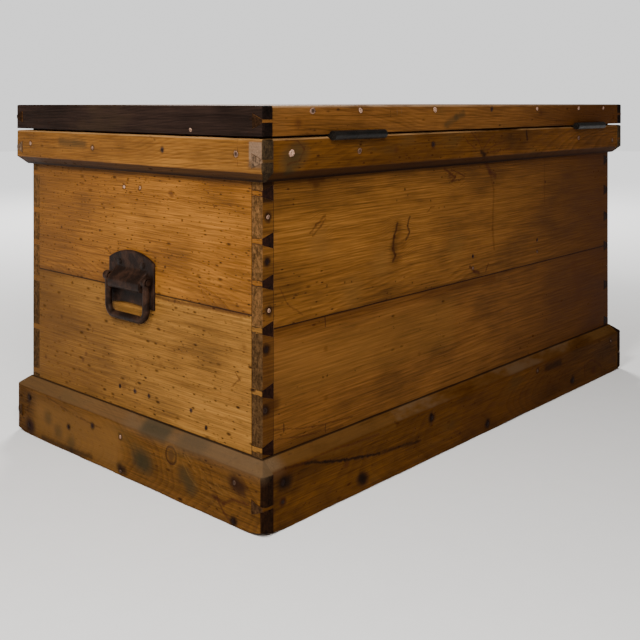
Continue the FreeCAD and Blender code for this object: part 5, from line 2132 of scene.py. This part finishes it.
def nail_heads(name: str, heads: tuple[Nail, ...], body: str, seed: int) -> bpy.types.Object:
    """Many nail heads as one piece.

    Each is a low dome: the height is that of a flat ellipse over the radius, and the rim waves by a
    few hundredths of the radius with its own phase.

    Args:
        name: Name of the piece.
        heads: The nails.
        body: The body that they move with.
        seed: Start of the random draws.

    Returns:
        The piece.
    """
    random = np.random.default_rng(seed)
    sides = 20
    angle = np.linspace(0.0, 2.0 * np.pi, sides, endpoint=False)
    share = np.array([1.0, 1.0, 0.86, 0.55, 0.2])
    rise = np.array([-0.5, 0.05, 0.3, 0.4, 0.42])
    darker = np.array([0.0, 0.2, 0.0, 0.8, 1.0])
    parts = []
    pale_heads_and_glints = []
    for nail in heads:
        phase = random.uniform(0.0, 2.0 * np.pi, 2)
        ragged = 1.0 + 0.09 * np.sin(2 * angle + phase[0]) + 0.05 * np.sin(3 * angle + phase[1])
        reach = nail.radius * share[:, None] * ragged
        flat = [reach * np.cos(angle), reach * np.sin(angle)]
        lift = np.broadcast_to(rise[:, None], reach.shape)
        order = (lift, *flat) if nail.facing is Axis.LENGTH else (flat[0], lift, flat[1])
        parts.append(closed_tube(np.stack(order, axis=-1) + np.array(nail.place)))
        # Pale share of the rings: the heads' own pale colour and painted glints, less in a dark middle.
        ring_pale_head_and_glint = nail.pale_head_and_glint * (1.0 - nail.hollow * darker)
        pale_heads_and_glints.append(np.concatenate([np.repeat(ring_pale_head_and_glint, sides), [0.0, nail.pale_head_and_glint * (1.0 - nail.hollow)]]))
    piece = made(name, *joined(parts))
    pale_head_and_glint = piece.data.attributes.new("pale_head_and_glint", "FLOAT", "POINT")
    pale_head_and_glint.data.foreach_set("value", np.concatenate(pale_heads_and_glints).astype(np.float32))
    return dressed(piece, body, nail_material())


@dataclass(frozen=True)
class NailWork:
    """All nail heads that the boards show."""

    def build(self) -> None:
        """Builds and dresses the nails of the chest and of the lid."""
        chest = END_UPPER_NAILS + END_LOWER_NAILS + BACK_CORNER_NAILS + BACK_PARTITION_NAILS
        chest += SKIRT_END_NAILS + SKIRT_BACK_NAILS + PLINTH_END_NAILS + PLINTH_BACK_NAILS
        nail_heads("chest_nails", chest, "chest", 91)
        nail_heads("lid_nails", RIM_END_NAILS + RIM_BACK_NAILS, "lid", 92)


# Studio


@dataclass(frozen=True)
class Lamp:
    """A soft lamp: where it stands, what it looks at, its size in metres and its power in watts."""

    name: str
    place: Point
    target: Point
    size: float
    power: float
    colour: Colour = (1.0, 1.0, 1.0)


@dataclass(frozen=True)
class Studio:
    """Floor, lamps and the camera at the photograph's angle."""

    eye: Point = (1.2758, 1.0919, 0.5257)
    look: Point = (-0.73846, -0.6743, 0.0)
    lens: float = 52.6
    shift_up: float = -0.34
    fill: float = 0.2
    backdrop: float = 1.25
    floor_radius: float = 9000.0
    floor_level: float = -0.2
    glow_from: float = 0.6
    glow_to: float = 3.4
    lamps: tuple[Lamp, ...] = (
        Lamp("key_lamp", (2.0, 0.6, 1.9), (0.47, 0.0, 0.25), 0.6, 58.0, (1.0, 0.98, 0.95)),
        Lamp("corner_lamp", (1.5, 1.5, 1.3), (0.45, 0.25, 0.25), 0.7, 42.0, (1.0, 0.97, 0.93)),
        Lamp("front_lamp", (-1.9, -2.2, 2.2), (0.0, 0.0, 0.25), 1.2, 130.0, (1.0, 0.98, 0.95)),
    )

    def floor(self) -> None:
        """A wide pale disc that glows more and more with the distance, so that it meets the surround."""
        angle = np.linspace(0.0, 2.0 * np.pi, 96, endpoint=False)
        across = self.floor_radius * np.cos(angle)
        rim = np.stack([across, self.floor_radius * np.sin(angle), np.full(96, self.floor_level)], axis=-1)
        floor = made("floor", rim, [list(range(96))])
        sheet = NodeSheet("floor_paint")
        grain = sheet.noise(sheet.place, 30.0, 3.0).outputs["Fac"]
        pale = sheet.mixed(grain, (0.8, 0.8, 0.8), (0.83, 0.83, 0.83))
        sheet.feed(sheet.shader.inputs["Base Color"], pale)
        sheet.shader.inputs["Roughness"].default_value = 0.9
        sheet.shader.inputs["Specular IOR Level"].default_value = 0.0
        sheet.shader.inputs["Emission Color"].default_value = (1.0, 1.0, 1.0, 1.0)
        away = sheet.vector("LENGTH", sheet.place)
        glow = sheet.step(away, self.glow_from, self.glow_to, 0.0, self.backdrop)
        sheet.feed(sheet.shader.inputs["Emission Strength"], glow)
        floor.data.materials.append(sheet.material)

    def world(self) -> None:
        """An even surround that lights the chest less than it shows."""
        world = bpy.data.worlds.new("studio")
        world.use_nodes = True
        tree = world.node_tree
        strength = tree.nodes.new("ShaderNodeMapRange")
        strength.inputs["To Min"].default_value = self.fill
        strength.inputs["To Max"].default_value = self.backdrop
        path = tree.nodes.new("ShaderNodeLightPath")
        tree.links.new(path.outputs["Is Camera Ray"], strength.inputs["Value"])
        tree.links.new(strength.outputs["Result"], tree.nodes["Background"].inputs["Strength"])
        tree.nodes["Background"].inputs["Color"].default_value = (1.0, 1.0, 1.0, 1.0)
        bpy.context.scene.world = world

    def light(self, lamp: Lamp) -> None:
        """One soft lamp that looks at its target.

        Args:
            lamp: The lamp.
        """
        data = bpy.data.lights.new(lamp.name, "AREA")
        data.shape = "DISK"
        data.size = lamp.size
        data.energy = lamp.power
        data.color = lamp.colour
        light = bpy.data.objects.new(lamp.name, data)
        light.location = lamp.place
        towards = Vector(lamp.target) - Vector(lamp.place)
        light.rotation_euler = towards.to_track_quat("-Z", "Y").to_euler()
        light.visible_camera = False
        bpy.context.scene.collection.objects.link(light)

    def camera(self) -> None:
        """The camera, level, with the view shifted down."""
        data = bpy.data.cameras.new("studio_camera")
        data.lens = self.lens
        data.sensor_width = 36.0
        data.shift_y = self.shift_up
        data.clip_end = 60.0
        camera = bpy.data.objects.new("studio_camera", data)
        camera.location = self.eye
        camera.rotation_euler = Vector(self.look).to_track_quat("-Z", "Y").to_euler()
        bpy.context.scene.collection.objects.link(camera)
        bpy.context.scene.camera = camera

    def build(self) -> None:
        """Builds the studio."""
        self.floor()
        self.world()
        for lamp in self.lamps:
            self.light(lamp)
        self.camera()


def main() -> None:
    """Loads the frame and builds the chest around it."""
    logging.basicConfig(level=logging.INFO, format="%(message)s")
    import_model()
    Carcase().build()
    plinth().build()
    skirt().build()
    lid_rim().build()
    Lid().build()
    Till("upper_till", 101).build()
    Till("lower_till", 111).build()
    for name, sign in (("right", 1.0), ("left", -1.0)):
        Handle(name, sign).build()
        hinge(name).build()
    lock().build()
    screws().build()
    NailWork().build()
    Studio().build()


if __name__ == "__main__":
    main()
